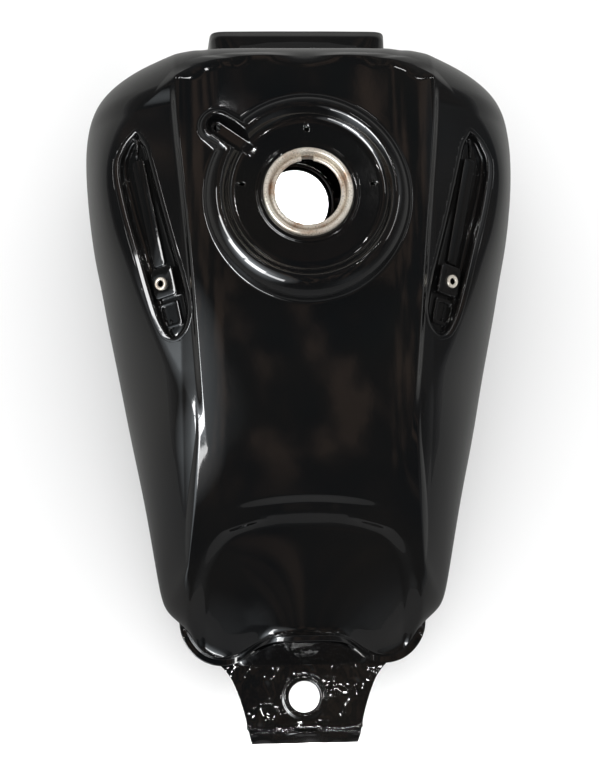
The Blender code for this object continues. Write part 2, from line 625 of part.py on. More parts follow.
def cover_bracket(name, sx):
    """Stepped strip: a flat tongue along the tray with a raised pad for the cover nut."""
    along = (AXIS_B - AXIS_A)
    length = along.length
    along.normalize()
    across = Vector((along.y, -along.x))
    pad = (Vector((PAD_X, PAD_Y)) - AXIS_A).dot(along)
    profile = [(4.0, 0.0), (pad - 17.0, 0.0), (pad - 14.5, 0.0), (pad - 11.5, 5.0), (pad + 11.5, 5.0), (pad + 14.5, 0.0),
               (pad + 40.0, 0.0), (length - 24.0, 0.0), (length - 7.0, 0.0)]
    pts, faces = [], []
    for s, up in profile:
        half = 8.4 if up > 0 else (4.6 if s < 5.0 else 6.6)
        for v in (-half, -half * 0.4, half * 0.4, half):
            p = AXIS_A + along * s + across * v
            pts.append((sx * p.x, p.y, floor_z(p.x, p.y) + 0.5 + 1.4 + up))
    for j in range(len(profile) - 1):
        for k in range(3):
            a = j * 4 + k
            faces.append((a, a + 1, a + 5, a + 4))
    if sx < 0:
        faces = [f[::-1] for f in faces]
    obj = add(name, mesh_of(name, pts, faces))
    solidify(obj, 1.4, -1.0)
    return obj


for side, sx in (("left", -1.0), ("right", 1.0)):
    pocket_tray(side + "_pocket_tray", sx)
    strip = cover_bracket(side + "_cover_bracket", sx)
    normal = Vector((-PX * sx, -PY, 1.0)).normalized()
    top = Vector((sx * PAD_X, PAD_Y, floor_z(PAD_X, PAD_Y) + 0.5 + 1.4 + 5.0))
    tool = bpy.data.objects.new("pad_cut_" + side, rod("pad_cut_" + side, 2.7, 20.0, top, normal, sides=16))
    CUTTERS.objects.link(tool)
    cut(strip, cutter(tool))
    turned(side + "_cover_nut", [(4.6, 1.6), (5.0, 1.1), (5.0, 0.0), (2.7, 0.0), (2.7, 1.2), (3.1, 1.6)],
           top + normal * FIT, steps=20, axis=normal, colour=STEEL, metallic=1.0, roughness=0.4)

# ---------------------------------------------------------------- rear mounting bracket
TAB_TOP = 45.6
EDGE_Y = [-291.0, -281.0, -258.0, -236.0, -224.0, -208.0, -198.0]
EDGE_X = [44.5, 47.5, 52.0, 61.0, 72.0, 92.5, 98.0]


def rear_bracket():
    cols = [0.0, 9.0, 18.0, 26.0, 32.0, 38.0, 44.0, 49.0, 54.0, 61.0, 68.0, 76.0, 84.0, 91.0, 96.0]
    front = np.interp(cols, [0.0, 18.0, 29.3, 40.0, 49.0, 54.0, 61.0, 98.0],
                      [-208.2, -208.4, -209.8, -214.6, -221.8, -222.5, -211.0, -198.5])
    rise = np.interp(cols, [0.0, 18.0, 29.3, 40.0, 49.0, 54.0], [41.5, 40.5, 34.0, 20.0, 6.5, 0.0])
    rows = []
    for x, yf, up in zip(cols, front, rise):
        yr = -291.0 if x <= 44.0 else float(np.interp(-x, [-98.0, -92.5, -72.0, -61.0, -52.0, -47.5, -44.5],
                                                      [-198.6, -208.0, -224.0, -236.0, -258.0, -281.0, -291.0]))
        fold = max(-227.0, yf + (yr - yf) * 0.5)
        column = []
        for t in (0.0, 0.08, 0.5, 1.0):
            z = TAB_TOP + up * (1.0 - max(0.0, t - 0.08) / 0.92)
            column.append((x, yf + (fold - yf) * t, z))
        for t in (0.14, 0.34, 0.52, 0.74, 0.95, 1.0):
            drop = 2.2 if (t == 1.0 and x <= 49.0) else 0.0
            column.append((x, fold + (yr - fold) * t, TAB_TOP - drop))
        rows.append(column)
    left = [[(-x, y, z) for x, y, z in col] for col in rows[1:][::-1]]
    grid = left + rows
    n = len(grid[0])
    faces = ring_faces(len(grid), n, closed=False)
    obj = add("rear_mount_bracket", mesh_of("rear_mount_bracket", [p for col in grid for p in col], faces))
    solidify(obj, TAB_THICK, -1.0)
    tool = bpy.data.objects.new("tab_cut", rod("tab_cut", TAB_HOLE_R, 30.0, (0.0, TAB_HOLE_Y, TAB_TOP), sides=32))
    CUTTERS.objects.link(tool)
    cut(obj, cutter(tool))
    return obj


rear_bracket()
turned("rear_bracket_doubler", [(21.5, 2.0), (22.0, 1.6), (22.0, 0.0), (TAB_HOLE_R, 0.0), (TAB_HOLE_R, 2.0)],
       (0.0, TAB_HOLE_Y, TAB_TOP - TAB_THICK - FIT - 2.0), steps=32)

# ---------------------------------------------------------------- front mounting cups inside the tunnel
def strip_piece(name, path, low_x, high_x, thickness, sx=1.0, **finish):
    """A bent strip: a path in y and z, given a width along x."""
    pts = [(sx * low_x, y, z) for y, z in path] + [(sx * high_x, y, z) for y, z in path]
    n = len(path)
    faces = [(i, i + 1, n + i + 1, n + i) for i in range(n - 1)]
    obj = add(name, mesh_of(name, pts, faces), **finish)
    solidify(obj, thickness, 0.0)
    return obj


CUP = [(236.0, 111.0), (212.0, 111.0), (204.5, 108.6), (199.5, 102.5), (198.0, 95.0), (199.5, 87.5), (204.5, 81.4), (212.0, 79.0), (236.0, 79.0)]
for side, sx in (("left", -1.0), ("right", 1.0)):
    strip_piece(side + "_front_mount_cup", CUP, 44.0, 61.5, 2.5, sx)

# ---------------------------------------------------------------- fuel outlet, drain, vent, tabs and clips
line = PAN[9]
spot = line[1] + (line[4] - line[1]) * 0.42
step_x, step_y = line[3] - line[2], PAN[10][2] - PAN[8][2]
normal = np.cross(step_x, step_y)
normal *= np.sign(normal[2]) / np.linalg.norm(normal)
OUTLET = Vector((-spot[0], spot[1], spot[2]))
OUTLET_AXIS = Vector((-normal[0], normal[1], normal[2]))
seat = OUTLET - OUTLET_AXIS * (SHEET + 2.0)
tool = bpy.data.objects.new("outlet_cut", rod("outlet_cut", 8.0, 24.0, OUTLET, OUTLET_AXIS, sides=20))
CUTTERS.objects.link(tool)
cut(pans["left"], cutter(tool))
turned("outlet_flange", [(14.0, 0.0), (14.4, -0.4), (14.4, -3.2), (7.8, -3.2), (7.8, 0.0)], seat, steps=28,
       axis=OUTLET_AXIS, colour=ZINC, metallic=0.9, roughness=0.4)
for name, off in (("front", 21.0), ("rear", -21.0)):
    base = seat + Vector((0.0, off, 0.0)) - OUTLET_AXIS * 1.0
    turned("outlet_nut_" + name, [(4.4, 0.0), (4.8, -0.4), (4.8, -3.4), (2.6, -3.4), (2.6, 0.0)], base, steps=16,
           axis=OUTLET_AXIS, colour=ZINC, metallic=0.9, roughness=0.4)

DRAIN_PATH = [(DRAIN_X, DRAIN_Y, 229.5), (DRAIN_X, DRAIN_Y, 214.0), (-78.0, 174.0, 176.0), (-96.0, 168.0, 80.0),
              (-104.0, 165.0, 40.0), (-104.0, 165.0, 3.0)]
VENT_PATH = [(50.0, 176.0, 226.0), (56.0, 174.0, 212.0), (76.0, 170.0, 172.0), (96.0, 164.0, 80.0), (104.0, 162.0, 40.0),
             (104.0, 162.0, 3.0)]
tube("drain_tube", DRAIN_PATH, 3.2, 0.8, colour=ZINC, metallic=0.9, roughness=0.4)
tube("vent_tube", VENT_PATH, 3.2, 0.8, colour=ZINC, metallic=0.9, roughness=0.4)
for side, x, y in (("left", -104.0, 165.0), ("right", 104.0, 162.0)):
    tool = bpy.data.objects.new("tube_cut_" + side, rod("tube_cut_" + side, 4.0, 44.0, (x, y, 14.0), sides=16))
    CUTTERS.objects.link(tool)
    cut(pans[side], cutter(tool))

for side, sx in (("left", -1.0), ("right", 1.0)):
    tab = add(side + "_lower_tab", block(side + "_lower_tab", (18.0, 24.0, 2.0), (sx * 104.0, 20.0, 5.2)))
    tool = bpy.data.objects.new("tab_hole_" + side, rod("tab_hole_" + side, 3.2, 12.0, (sx * 104.0, 20.0, 5.2), sides=16))
    CUTTERS.objects.link(tool)
    cut(tab, cutter(tool))

for name, y in (("front", 66.0), ("rear", -58.0)):
    z = tunnel_section(y)[0][1] - SHEET - 1.2
    path = [(y + 22.0, z - 1.0), (y + 4.0, z - 1.6), (y, z - 6.0), (y - 2.0, z - 12.0), (y - 6.0, z - 15.0), (y - 12.0, z - 15.4),
            (y - 18.0, z - 13.0)]
    strip_piece(name + "_harness_clip", path, 18.0, 28.0, 1.2, 1.0, colour=ZINC, metallic=0.8, roughness=0.4)

for obj in PARTS.objects:
    if obj.type == "MESH":
        obj.data.shade_smooth()
        obj.data.set_sharp_from_angle(angle=math.radians(35.0))
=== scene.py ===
"""Looks of the motorcycle fuel tank: fine surfaces, paint, metal, light and camera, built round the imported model."""

import math

import bmesh
import bpy
import numpy as np
from mathutils import Matrix, Vector
from mathutils.bvhtree import BVHTree

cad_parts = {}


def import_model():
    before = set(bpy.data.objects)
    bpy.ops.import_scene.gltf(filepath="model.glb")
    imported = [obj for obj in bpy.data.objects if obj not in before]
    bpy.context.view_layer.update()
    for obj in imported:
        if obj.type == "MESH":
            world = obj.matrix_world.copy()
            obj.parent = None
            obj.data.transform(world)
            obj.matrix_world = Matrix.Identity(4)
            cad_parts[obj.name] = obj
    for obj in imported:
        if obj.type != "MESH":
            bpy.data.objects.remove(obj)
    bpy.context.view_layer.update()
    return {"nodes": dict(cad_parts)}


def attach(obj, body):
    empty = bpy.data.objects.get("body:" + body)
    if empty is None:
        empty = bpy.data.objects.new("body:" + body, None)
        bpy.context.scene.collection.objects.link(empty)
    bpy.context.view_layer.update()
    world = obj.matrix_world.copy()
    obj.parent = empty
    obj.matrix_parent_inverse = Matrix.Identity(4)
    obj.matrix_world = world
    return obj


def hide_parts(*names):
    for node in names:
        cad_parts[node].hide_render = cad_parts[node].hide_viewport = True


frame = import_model()

# ---------------------------------------------------------------- dimensions shared with the design (mm)
SHEET = 1.2
FILLER_X, FILLER_Y = 0.0, 125.0
NECK_HOLE_R = 34.8
NECK_OUTER_R, NECK_LIP_R, NECK_BORE_R = 34.0, 30.5, 25.0
NECK_TOP_Z, NECK_BOTTOM_Z = 243.0, 222.0
DISH_FLOOR_Z = 237.0
CREST_Z = 246.0
CAP_PCD_R, CAP_SCREW_D = 50.0, 5.2
GROOVE_ANGLE = math.radians(142.5)
GROOVE_END_R = 88.0
GROOVE_HALF = 7.0
DRAIN_HOLE_R = 4.2
TAB_HOLE_Y, TAB_HOLE_R, TAB_THICK, TAB_TOP = -253.0, 13.0, 2.5, 45.6

TOP_Y = [-215.0, -190.0, -160.0, -130.0, -94.0, -60.0, -20.0, 20.0, 60.0, 100.0, 140.0, 180.0, 215.0, 245.0, 275.0]
TOP_Z = [86.0, 96.0, 114.0, 138.0, 165.0, 186.0, 205.0, 220.0, 230.5, 236.0, 238.6, 238.8, 237.0, 234.4, 230.5]
BOWL_Y = [-215.0, -202.0, -190.0, -175.0, -160.0, -145.0, -130.0, -115.0, -100.0]
BOWL_Z = [80.5, 88.6, 96.0, 105.0, 113.8, 122.4, 131.0, 139.6, 148.0]

# platform outline A, facet edge C, widest outline S, seam M, lip vector L, edge width (right half, rear to front)
STATIONS = [
    (0.0,   -94.0,  0.0,   -112.0, 0.0,   -202.0, 95.0,  0.0,   -203.0, 92.0,  0.0, -4.0, -2.0,  8.0),
    (16.0,  -94.3,  18.0,  -112.3, 18.0,  -202.2, 94.5,  18.0,  -203.2, 91.0,  0.5, -4.0, -2.0,  8.0),
    (26.0,  -95.3,  31.0,  -113.6, 29.0,  -203.2, 89.0,  29.3,  -204.6, 84.5,  1.5, -4.0, -2.0,  9.5),
    (34.0,  -96.2,  41.0,  -115.6, 39.0,  -207.4, 76.0,  40.0,  -209.4, 70.5,  2.0, -4.0, -1.5, 12.0),
    (41.0,  -97.2,  49.0,  -117.8, 48.0,  -213.6, 64.0,  49.0,  -216.0, 57.5,  1.5, -4.6, -0.7, 16.0),
    (49.0,  -98.6,  58.0,  -120.6, 60.0,  -218.6, 58.0,  60.5,  -220.8, 51.0,  0.0, -5.0,  0.0, 20.0),
    (57.0,  -100.4, 68.0,  -125.0, 74.0,  -218.4, 57.0,  75.0,  -220.4, 50.0,  1.5, -4.8,  0.0, 22.0),
    (64.0,  -101.6, 77.0,  -131.5, 86.0,  -211.6, 57.5,  88.0,  -213.0, 50.0,  3.6, -3.6,  0.0, 24.0),
    (69.0,  -101.0, 85.0,  -141.0, 94.5,  -199.5, 60.0,  96.5,  -200.0, 50.0,  4.4, -2.2,  0.0, 27.0),
    (71.5,  -98.0,  91.0,  -147.0, 104.0, -189.5, 62.0,  101.0, -188.0, 46.0,  2.6, -1.0, -3.6, 32.0),
    (73.2,  -92.0,  94.5,  -147.0, 113.0, -180.0, 64.0,  104.0, -176.0, 38.0,  0.8,  0.0, -7.0, 38.0),
    (74.5,  -84.0,  96.0,  -136.0, 118.0, -166.0, 66.5,  105.5, -160.0, 28.0,  0.0,  0.0, -9.0, 45.0),
    (76.0,  -72.0,  95.0,  -112.0, 122.5, -140.0, 72.0,  108.5, -135.0, 17.0,  0.0,  0.0, -9.0, 54.0),
    (78.0,  -52.0,  90.0,  -76.0,  130.5, -92.0,  81.0,  114.0, -90.0,  10.0,  0.0,  0.0, -9.0, 62.0),
    (80.2,  -24.0,  87.0,  -36.0,  140.0, -44.0,  88.5,  121.0, -44.0,  9.0,   0.0,  0.0, -9.0, 62.0),
    (82.4,  10.0,   103.0, 6.0,    149.5, 6.0,    94.5,  129.0, 4.0,    9.0,   0.0,  0.0, -9.0, 48.0),
    (85.0,  44.0,   123.0, 50.0,   158.0, 50.0,   98.0,  136.0, 50.0,   9.0,   0.0,  0.0, -9.0, 35.5),
    (87.0,  72.0,   133.5, 78.0,   163.0, 78.0,   99.8,  140.0, 78.0,   9.0,   0.0,  0.0, -9.0, 29.5),
    (88.9,  98.0,   141.5, 104.0,  168.0, 104.0,  101.2, 143.5, 104.0,  9.0,   0.0,  0.0, -9.0, 25.0),
    (90.9,  124.0,  147.5, 130.0,  171.6, 130.0,  102.8, 146.5, 130.0,  9.0,   0.0,  0.0, -9.0, 22.5),
    (93.2,  150.0,  150.5, 154.0,  174.0, 155.0,  104.0, 148.0, 154.0,  9.0,   0.0,  0.0, -9.0, 23.0),
    (94.9,  170.0,  147.0, 174.0,  175.2, 182.0,  106.5, 148.5, 180.0,  9.5,   0.0,  0.0, -9.0, 29.0),
    (96.4,  186.0,  137.0, 188.0,  173.4, 206.0,  109.0, 146.0, 206.0,  12.0,  0.0,  0.0, -9.0, 39.0),
    (97.8,  202.0,  124.0, 199.5,  165.4, 228.5,  111.0, 136.0, 229.0,  18.0,  0.0,  0.0, -9.0, 50.0),
    (96.0,  213.0,  113.0, 211.0,  148.0, 246.0,  112.5, 120.0, 243.0,  25.0,  0.0,  0.0, -9.0, 57.0),
    (89.0,  219.0,  103.0, 224.0,  127.0, 257.4,  114.0, 102.0, 248.0,  30.0,  0.0,  0.3, -9.0, 60.0),
    (80.0,  222.5,  94.0,  231.0,  108.5, 262.6,  117.0, 90.0,  252.5,  33.0,  0.0,  3.0, -8.5, 54.0),
    (71.0,  224.8,  85.0,  235.0,  96.5,  263.8,  121.5, 83.0,  254.5,  40.0,  0.0, 18.0, -4.0, 48.0),
    (62.0,  226.4,  77.0,  237.0,  87.0,  263.4,  128.5, 76.5,  255.8,  72.0,  0.0, 33.5,  0.0, 44.0),
    (53.5,  227.4,  70.0,  238.0,  80.0,  262.2,  138.0, 73.6,  256.8,  108.0, 0.0, 34.2,  0.0, 42.0),
    (45.0,  228.0,  62.0,  238.6,  71.5,  261.0,  146.0, 71.8,  257.4,  132.0, 0.0, 33.6, -4.0, 40.0),
    (36.0,  228.4,  52.0,  239.0,  61.0,  260.3,  149.8, 65.5,  257.8,  145.0, 0.0, 33.2, -9.5, 39.0),
    (26.0,  228.6,  40.0,  239.2,  47.0,  259.8,  151.4, 50.0,  258.0,  150.0, 0.0, 33.0, -13.4, 38.0),
    (13.5,  228.8,  22.0,  239.4,  25.0,  259.6,  151.8, 26.0,  258.0,  151.2, 0.0, 33.0, -14.2, 38.0),
    (0.0,   228.9,  0.0,   239.5,  0.0,   259.5,  151.8, 0.0,   258.0,  151.4, 0.0, 33.0, -14.4, 38.0),
]
POCKET = [(120.5, 170.0), (128.5, 183.5), (138.5, 175.0), (146.0, 162.0), (146.0, 148.0), (139.5, 117.0), (132.0, 91.0), (124.0, 60.0),
          (116.5, 35.0), (109.0, 22.5), (99.5, 20.0), (91.0, 28.5), (88.5, 41.0), (92.0, 62.0), (104.5, 107.0), (114.5, 146.0)]
POCKET_DEPTH = 9.0
LEDGE_DROP = 5.2
PAD_X, PAD_Y = 111.0, 64.0


# ---------------------------------------------------------------- interpolation
def natural(xs, ys):
    """Natural cubic spline through the points, straight beyond its ends."""
    xs, ys = np.asarray(xs, float), np.asarray(ys, float)
    n = len(xs)
    h = np.diff(xs)
    a = np.zeros((n, n))
    b = np.zeros(n)
    a[0, 0] = a[-1, -1] = 1.0
    for i in range(1, n - 1):
        a[i, i - 1:i + 2] = h[i - 1], 2 * (h[i - 1] + h[i]), h[i]
        b[i] = 6 * ((ys[i + 1] - ys[i]) / h[i] - (ys[i] - ys[i - 1]) / h[i - 1])
    m = np.linalg.solve(a, b)

    def at(v):
        v = np.asarray(v, float)
        i = np.clip(np.searchsorted(xs, v) - 1, 0, n - 2)
        u = np.clip(v, xs[0], xs[-1])
        l, r = u - xs[i], xs[i + 1] - u
        z = (m[i] * r ** 3 + m[i + 1] * l ** 3) / (6 * h[i]) + (ys[i] / h[i] - m[i] * h[i] / 6) * r + (ys[i + 1] / h[i] - m[i + 1] * h[i] / 6) * l
        g0 = (ys[1] - ys[0]) / h[0] - h[0] * (2 * m[0] + m[1]) / 6
        g1 = (ys[-1] - ys[-2]) / h[-1] + h[-1] * (m[-2] + 2 * m[-1]) / 6
        return z + np.minimum(v - xs[0], 0.0) * g0 + np.maximum(v - xs[-1], 0.0) * g1

    return at


def monotone(xs, ys):
    """Shape-keeping cubic through the points (no overshoot), level beyond its ends."""
    xs, ys = np.asarray(xs, float), np.asarray(ys, float)
    h, d = np.diff(xs), np.diff(ys) / np.diff(xs)
    m = np.zeros(len(xs))
    for i in range(1, len(xs) - 1):
        if d[i - 1] * d[i] > 0:
            w1, w2 = 2 * h[i] + h[i - 1], h[i] + 2 * h[i - 1]
            m[i] = (w1 + w2) / (w1 / d[i - 1] + w2 / d[i])
    m[0], m[-1] = d[0], d[-1]

    def at(v):
        v = np.clip(np.asarray(v, float), xs[0], xs[-1])
        i = np.clip(np.searchsorted(xs, v) - 1, 0, len(xs) - 2)
        t = (v - xs[i]) / h[i]
        return ((1 + 2 * t) * (1 - t) ** 2 * ys[i] + t * (1 - t) ** 2 * h[i] * m[i]
                + t * t * (3 - 2 * t) * ys[i + 1] + t * t * (t - 1) * h[i] * m[i + 1])

    return at


def periodic(rows, where):
    """Closed cubic spline through rows (one row a unit of the parameter), read at where."""
    rows = np.asarray(rows, float)
    n = len(rows)
    a = np.zeros((n, n))
    i = np.arange(n)
    a[i, i], a[i, (i + 1) % n], a[i, i - 1] = 4.0, 1.0, 1.0
    m = np.linalg.solve(a, 6 * (np.roll(rows, -1, 0) - 2 * rows + np.roll(rows, 1, 0)))
    k = np.floor(where).astype(int) % n
    t = (where - np.floor(where))[:, None]
    j = (k + 1) % n
    r = 1 - t
    return (m[k] * r ** 3 + m[j] * t ** 3) / 6 + (rows[k] - m[k] / 6) * r + (rows[j] - m[j] / 6) * t


def smoothstep(a, b, v):
    t = np.clip((v - a) / (b - a), 0.0, 1.0)
    return t * t * (3.0 - 2.0 * t)


def smooth_max(a, b, k):
    h = np.clip(0.5 + 0.5 * (a - b) / k, 0.0, 1.0)
    return b + (a - b) * h + k * h * (1.0 - h)


def smooth_min(a, b, k):
    return -smooth_max(-a, -b, k)


top_line = natural(TOP_Y, TOP_Z)
bowl_line = natural(BOWL_Y, BOWL_Z)
crease_line = natural([-100.0, -24.0, 10.0, 118.0, 204.0, 260.0], [73.0, 80.2, 82.4, 90.4, 98.0, 99.0])
sag_line = monotone([-225.0, -205.0, -185.0, -165.0, -145.0, -120.0], [-17.0, -13.5, -9.0, -5.0, -2.0, 1.0])
half_line = monotone([-230.0, -190.0, -166.0, -143.0, -122.0, -112.0], [99.0, 97.0, 93.5, 86.5, 70.0, 40.0])
ring_line = monotone([0.0, 63.5, 66.0, 68.5, 71.0, 73.5, 76.0, 78.5, 81.0, 84.0, 90.0, 112.0], [0.0, 0.0, 0.30, 1.15, 2.6, 4.8, 8.0, 12.6, 18.6, 27.0, 46.0, 400.0])
rib_line = monotone([0.0, 9.2, 10.4, 11.8, 13.2, 14.8, 17.4, 40.0], [0.0, 0.0, 0.3, 1.2, 3.0, 6.2, 13.0, 400.0])
dish_line = monotone([0.0, 36.9, 37.7, 38.7, 39.5, 55.4, 57.2, 59.4, 61.6, 63.8, 65.6, 67.4, 71.5], [1.4, 1.4, 1.25, 0.25, 0.0, 0.0, 0.4, 1.9, 4.6, 7.2, 8.7, 9.6, 12.0])


def platform(x, y):
    ax = np.abs(x)
    z = top_line(y) - 0.0003 * x * x
    edge = np.clip((ax - 62.0) / 26.0, 0.0, 1.3)
    z = z - 1.6 * edge * edge * smoothstep(-130.0, -60.0, y)
    step = 4.5 * smoothstep(-40.0, 0.0, y) * (1.0 - smoothstep(196.0, 214.0, y))
    xc = crease_line(y)
    z = z - step * smoothstep(0.0, 4.5, ax - xc)
    slope = 0.52 * smoothstep(-70.0, 10.0, y)
    return z - slope * np.clip(ax - xc, 0.0, 200.0)


def seat_recess(x, y, z):
    """Bowl pressed into the rear: a narrow crescent ledge first, then the bowl itself."""
    ax = np.abs(x)
    floor = bowl_line(y) + sag_line(y) * (ax / 60.0) ** 2
    ledge_y = -94.0 - 9.0 * (ax / 70.0) ** 2
    rim_y = -105.5 - 6.0 * (ax / 60.0) ** 2
    side = (half_line(y) - ax) * 0.85
    z = z - LEDGE_DROP * smoothstep(0.0, 6.2, ledge_y - y) * (1.0 - smoothstep(16.0, 74.0, ax)) * (1.0 - smoothstep(16.0, 40.0, ledge_y - y))
    inside = smooth_min(rim_y - y, side, 6.0)
    t = smoothstep(0.0, 14.0, inside)
    return z * (1.0 - t) + np.minimum(floor, z + 1.0) * t


def turret(x, y, z):
    """Raised ring with a sunken dish and a drain spout that runs out of the dish through the ring."""
    dx, dy = x - FILLER_X, y - FILLER_Y
    r = np.hypot(dx, dy)
    along = dx * math.cos(GROOVE_ANGLE) + dy * math.sin(GROOVE_ANGLE)
    across = -dx * math.sin(GROOVE_ANGLE) + dy * math.cos(GROOVE_ANGLE)
    over = np.maximum(along - GROOVE_END_R + 3.0, 0.0)
    d = np.hypot(over, across)
    rim = np.interp(along, [60.0, 74.0, 84.0, 98.0], [CREST_Z, CREST_Z, 242.8, 240.2])
    z = smooth_max(z, CREST_Z - ring_line(r), 2.6)
    z = np.where(along > 40.0, smooth_max(z, rim - rib_line(d), 2.4), z)
    floor = DISH_FLOOR_Z + dish_line(r)
    z = np.where(r < 75.0, smooth_min(z, np.where(r < 71.5, floor, 400.0), 0.5), z)
    bed = np.interp(along, [50.0, 60.0, GROOVE_END_R], [DISH_FLOOR_Z, DISH_FLOOR_Z - 0.3, 232.4])
    groove = bed + 14.0 * smoothstep(3.6, GROOVE_HALF + 4.2, d)
    return np.where((along > 52.0) & (d < GROOVE_HALF + 4.2), smooth_min(z, groove, 1.2), z)


# ---------------------------------------------------------------- mesh helpers
def mesh_from(name, pts_mm, faces):
    mesh = bpy.data.meshes.new(name)
    pts = np.asarray(pts_mm, np.float32) * np.float32(0.001)
    faces = np.asarray(faces, np.int32)
    mesh.vertices.add(len(pts))
    mesh.vertices.foreach_set("co", pts.ravel())
    size = faces.shape[1]
    mesh.loops.add(faces.size)
    mesh.loops.foreach_set("vertex_index", faces.ravel())
    mesh.polygons.add(len(faces))
    mesh.polygons.foreach_set("loop_start", np.arange(len(faces), dtype=np.int32) * size)
    mesh.update(calc_edges=True)
    mesh.validate()
    mesh.shade_smooth()
    return mesh


def piece(name, mesh, mat, *nodes, slot="gloss_black_paint"):
    obj = bpy.data.objects.new(name, mesh)
    bpy.context.scene.collection.objects.link(obj)
    mesh.materials.clear()
    mesh.materials.append(mat)
    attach(obj, "root")
    if nodes:
        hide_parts(*nodes)
    return obj


def solidify(obj, thickness, offset=-1.0):
    mod = obj.modifiers.new("sheet", "SOLIDIFY")
    mod.thickness = thickness * 0.001
    mod.offset = offset
    mod.use_even_offset = False
    return mod


def grid_faces(rows, cols, closed=True, flip=False):
    j = np.arange(rows - 1)[:, None]
    k = np.arange(cols if closed else cols - 1)[None]
    a = j * cols + k
    b = j * cols + (k + 1) % cols
    f = np.stack([a, b, b + cols, a + cols], 2).reshape(-1, 4)
    return f[:, ::-1] if flip else f


def lathe(name, profile, centre, steps=160, flip=False):
    """A profile of (radius, height) turned round the vertical axis through centre; open at both ends unless it closes."""
    prof = np.asarray(profile, float)
    t = np.arange(steps) * 2 * math.pi / steps
    pts = np.stack([centre[0] + prof[:, 0][:, None] * np.cos(t), centre[1] + prof[:, 0][:, None] * np.sin(t),
                    centre[2] + np.repeat(prof[:, 1][:, None], steps, 1)], 2)
    return mesh_from(name, pts.reshape(-1, 3), grid_faces(len(prof), steps, True, flip))


# ---------------------------------------------------------------- materials
def nodes_of(name):
    mat = bpy.data.materials.new(name)
    mat.use_nodes = True
    tree = mat.node_tree
    return mat, tree, tree.nodes["Principled BSDF"]


def link(tree, a, b):
    tree.links.new(a, b)


def noise(tree, scale, detail=4.0, rough=0.5, stretch=None):
    tex = tree.nodes.new("ShaderNodeTexNoise")
    tex.inputs["Scale"].default_value = scale
    tex.inputs["Detail"].default_value = detail
    tex.inputs["Roughness"].default_value = rough
    coord = tree.nodes.new("ShaderNodeTexCoord")
    if stretch:
        mapping = tree.nodes.new("ShaderNodeMapping")
        mapping.inputs["Scale"].default_value = stretch
        link(tree, coord.outputs["Object"], mapping.inputs["Vector"])
        link(tree, mapping.outputs["Vector"], tex.inputs["Vector"])
    else:
        link(tree, coord.outputs["Object"], tex.inputs["Vector"])
    return tex


def ramp(tree, source, stops):
    node = tree.nodes.new("ShaderNodeValToRGB")
    node.color_ramp.elements[0].position = stops[0][0]
    node.color_ramp.elements[0].color = stops[0][1]
    node.color_ramp.elements[1].position = stops[-1][0]
    node.color_ramp.elements[1].color = stops[-1][1]
    for pos, col in stops[1:-1]:
        e = node.color_ramp.elements.new(pos)
        e.color = col
    link(tree, source, node.inputs["Fac"])
    return node


def grey(v):
    return (v, v, v, 1.0)


def bump(tree, shader, height, strength, distance, normal=None):
    node = tree.nodes.new("ShaderNodeBump")
    node.inputs["Strength"].default_value = strength
    node.inputs["Distance"].default_value = distance
    link(tree, height, node.inputs["Height"])
    if normal is not None:
        link(tree, normal, node.inputs["Normal"])
    link(tree, node.outputs["Normal"], shader.inputs["Normal"])
    return node


def paint_material(name="gloss_black_enamel", wave=0.0):
    mat, tree, shader = nodes_of(name)
    shade = noise(tree, 9.0, 3.0)
    colour = ramp(tree, shade.outputs["Fac"], [(0.3, (0.0030, 0.0034, 0.0040, 1.0)), (0.7, (0.0060, 0.0056, 0.0052, 1.0))])
    link(tree, colour.outputs["Color"], shader.inputs["Base Color"])
    haze = noise(tree, 38.0, 6.0, 0.62)
    rough = ramp(tree, haze.outputs["Fac"], [(0.35, grey(0.045)), (0.62, grey(0.075)), (0.78, grey(0.13))])
    link(tree, rough.outputs["Color"], shader.inputs["Roughness"])
    shader.inputs["IOR"].default_value = 1.5
    shader.inputs["Coat Weight"].default_value = 0.6
    shader.inputs["Coat Roughness"].default_value = 0.03
    peel = noise(tree, 260.0, 2.0)
    fine = bump(tree, shader, peel.outputs["Fac"], 0.05, 0.0004)
    if wave:
        dents = noise(tree, 36.0, 1.6, 0.5)
        bump(tree, shader, dents.outputs["Fac"], 1.0, wave, fine.outputs["Normal"])
    return mat


def steel_material():
    mat, tree, shader = nodes_of("bare_turned_steel")
    stain = noise(tree, 42.0, 5.0, 0.6)
    colour = ramp(tree, stain.outputs["Fac"], [(0.34, (0.40, 0.26, 0.17, 1.0)), (0.43, (0.58, 0.51, 0.43, 1.0)), (0.6, (0.74, 0.70, 0.62, 1.0))])
    link(tree, colour.outputs["Color"], shader.inputs["Base Color"])
    shader.inputs["Metallic"].default_value = 0.45
    fine = noise(tree, 900.0, 3.0)
    rough = ramp(tree, fine.outputs["Fac"], [(0.3, grey(0.22)), (0.7, grey(0.40))])
    link(tree, rough.outputs["Color"], shader.inputs["Roughness"])
    bump(tree, shader, fine.outputs["Fac"], 0.10, 0.0002)
    return mat


def zinc_material():
    mat, tree, shader = nodes_of("zinc_plate")
    stain = noise(tree, 60.0, 5.0, 0.6)
    colour = ramp(tree, stain.outputs["Fac"], [(0.3, (0.40, 0.42, 0.44, 1.0)), (0.7, (0.60, 0.61, 0.62, 1.0))])
    link(tree, colour.outputs["Color"], shader.inputs["Base Color"])
    shader.inputs["Metallic"].default_value = 1.0
    rough = ramp(tree, stain.outputs["Fac"], [(0.3, grey(0.3)), (0.7, grey(0.5))])
    link(tree, rough.outputs["Color"], shader.inputs["Roughness"])
    return mat


PAINT, STEEL, ZINC = paint_material(), steel_material(), zinc_material()
HAND_PAINT = paint_material("gloss_black_over_rough_press", 0.0060)

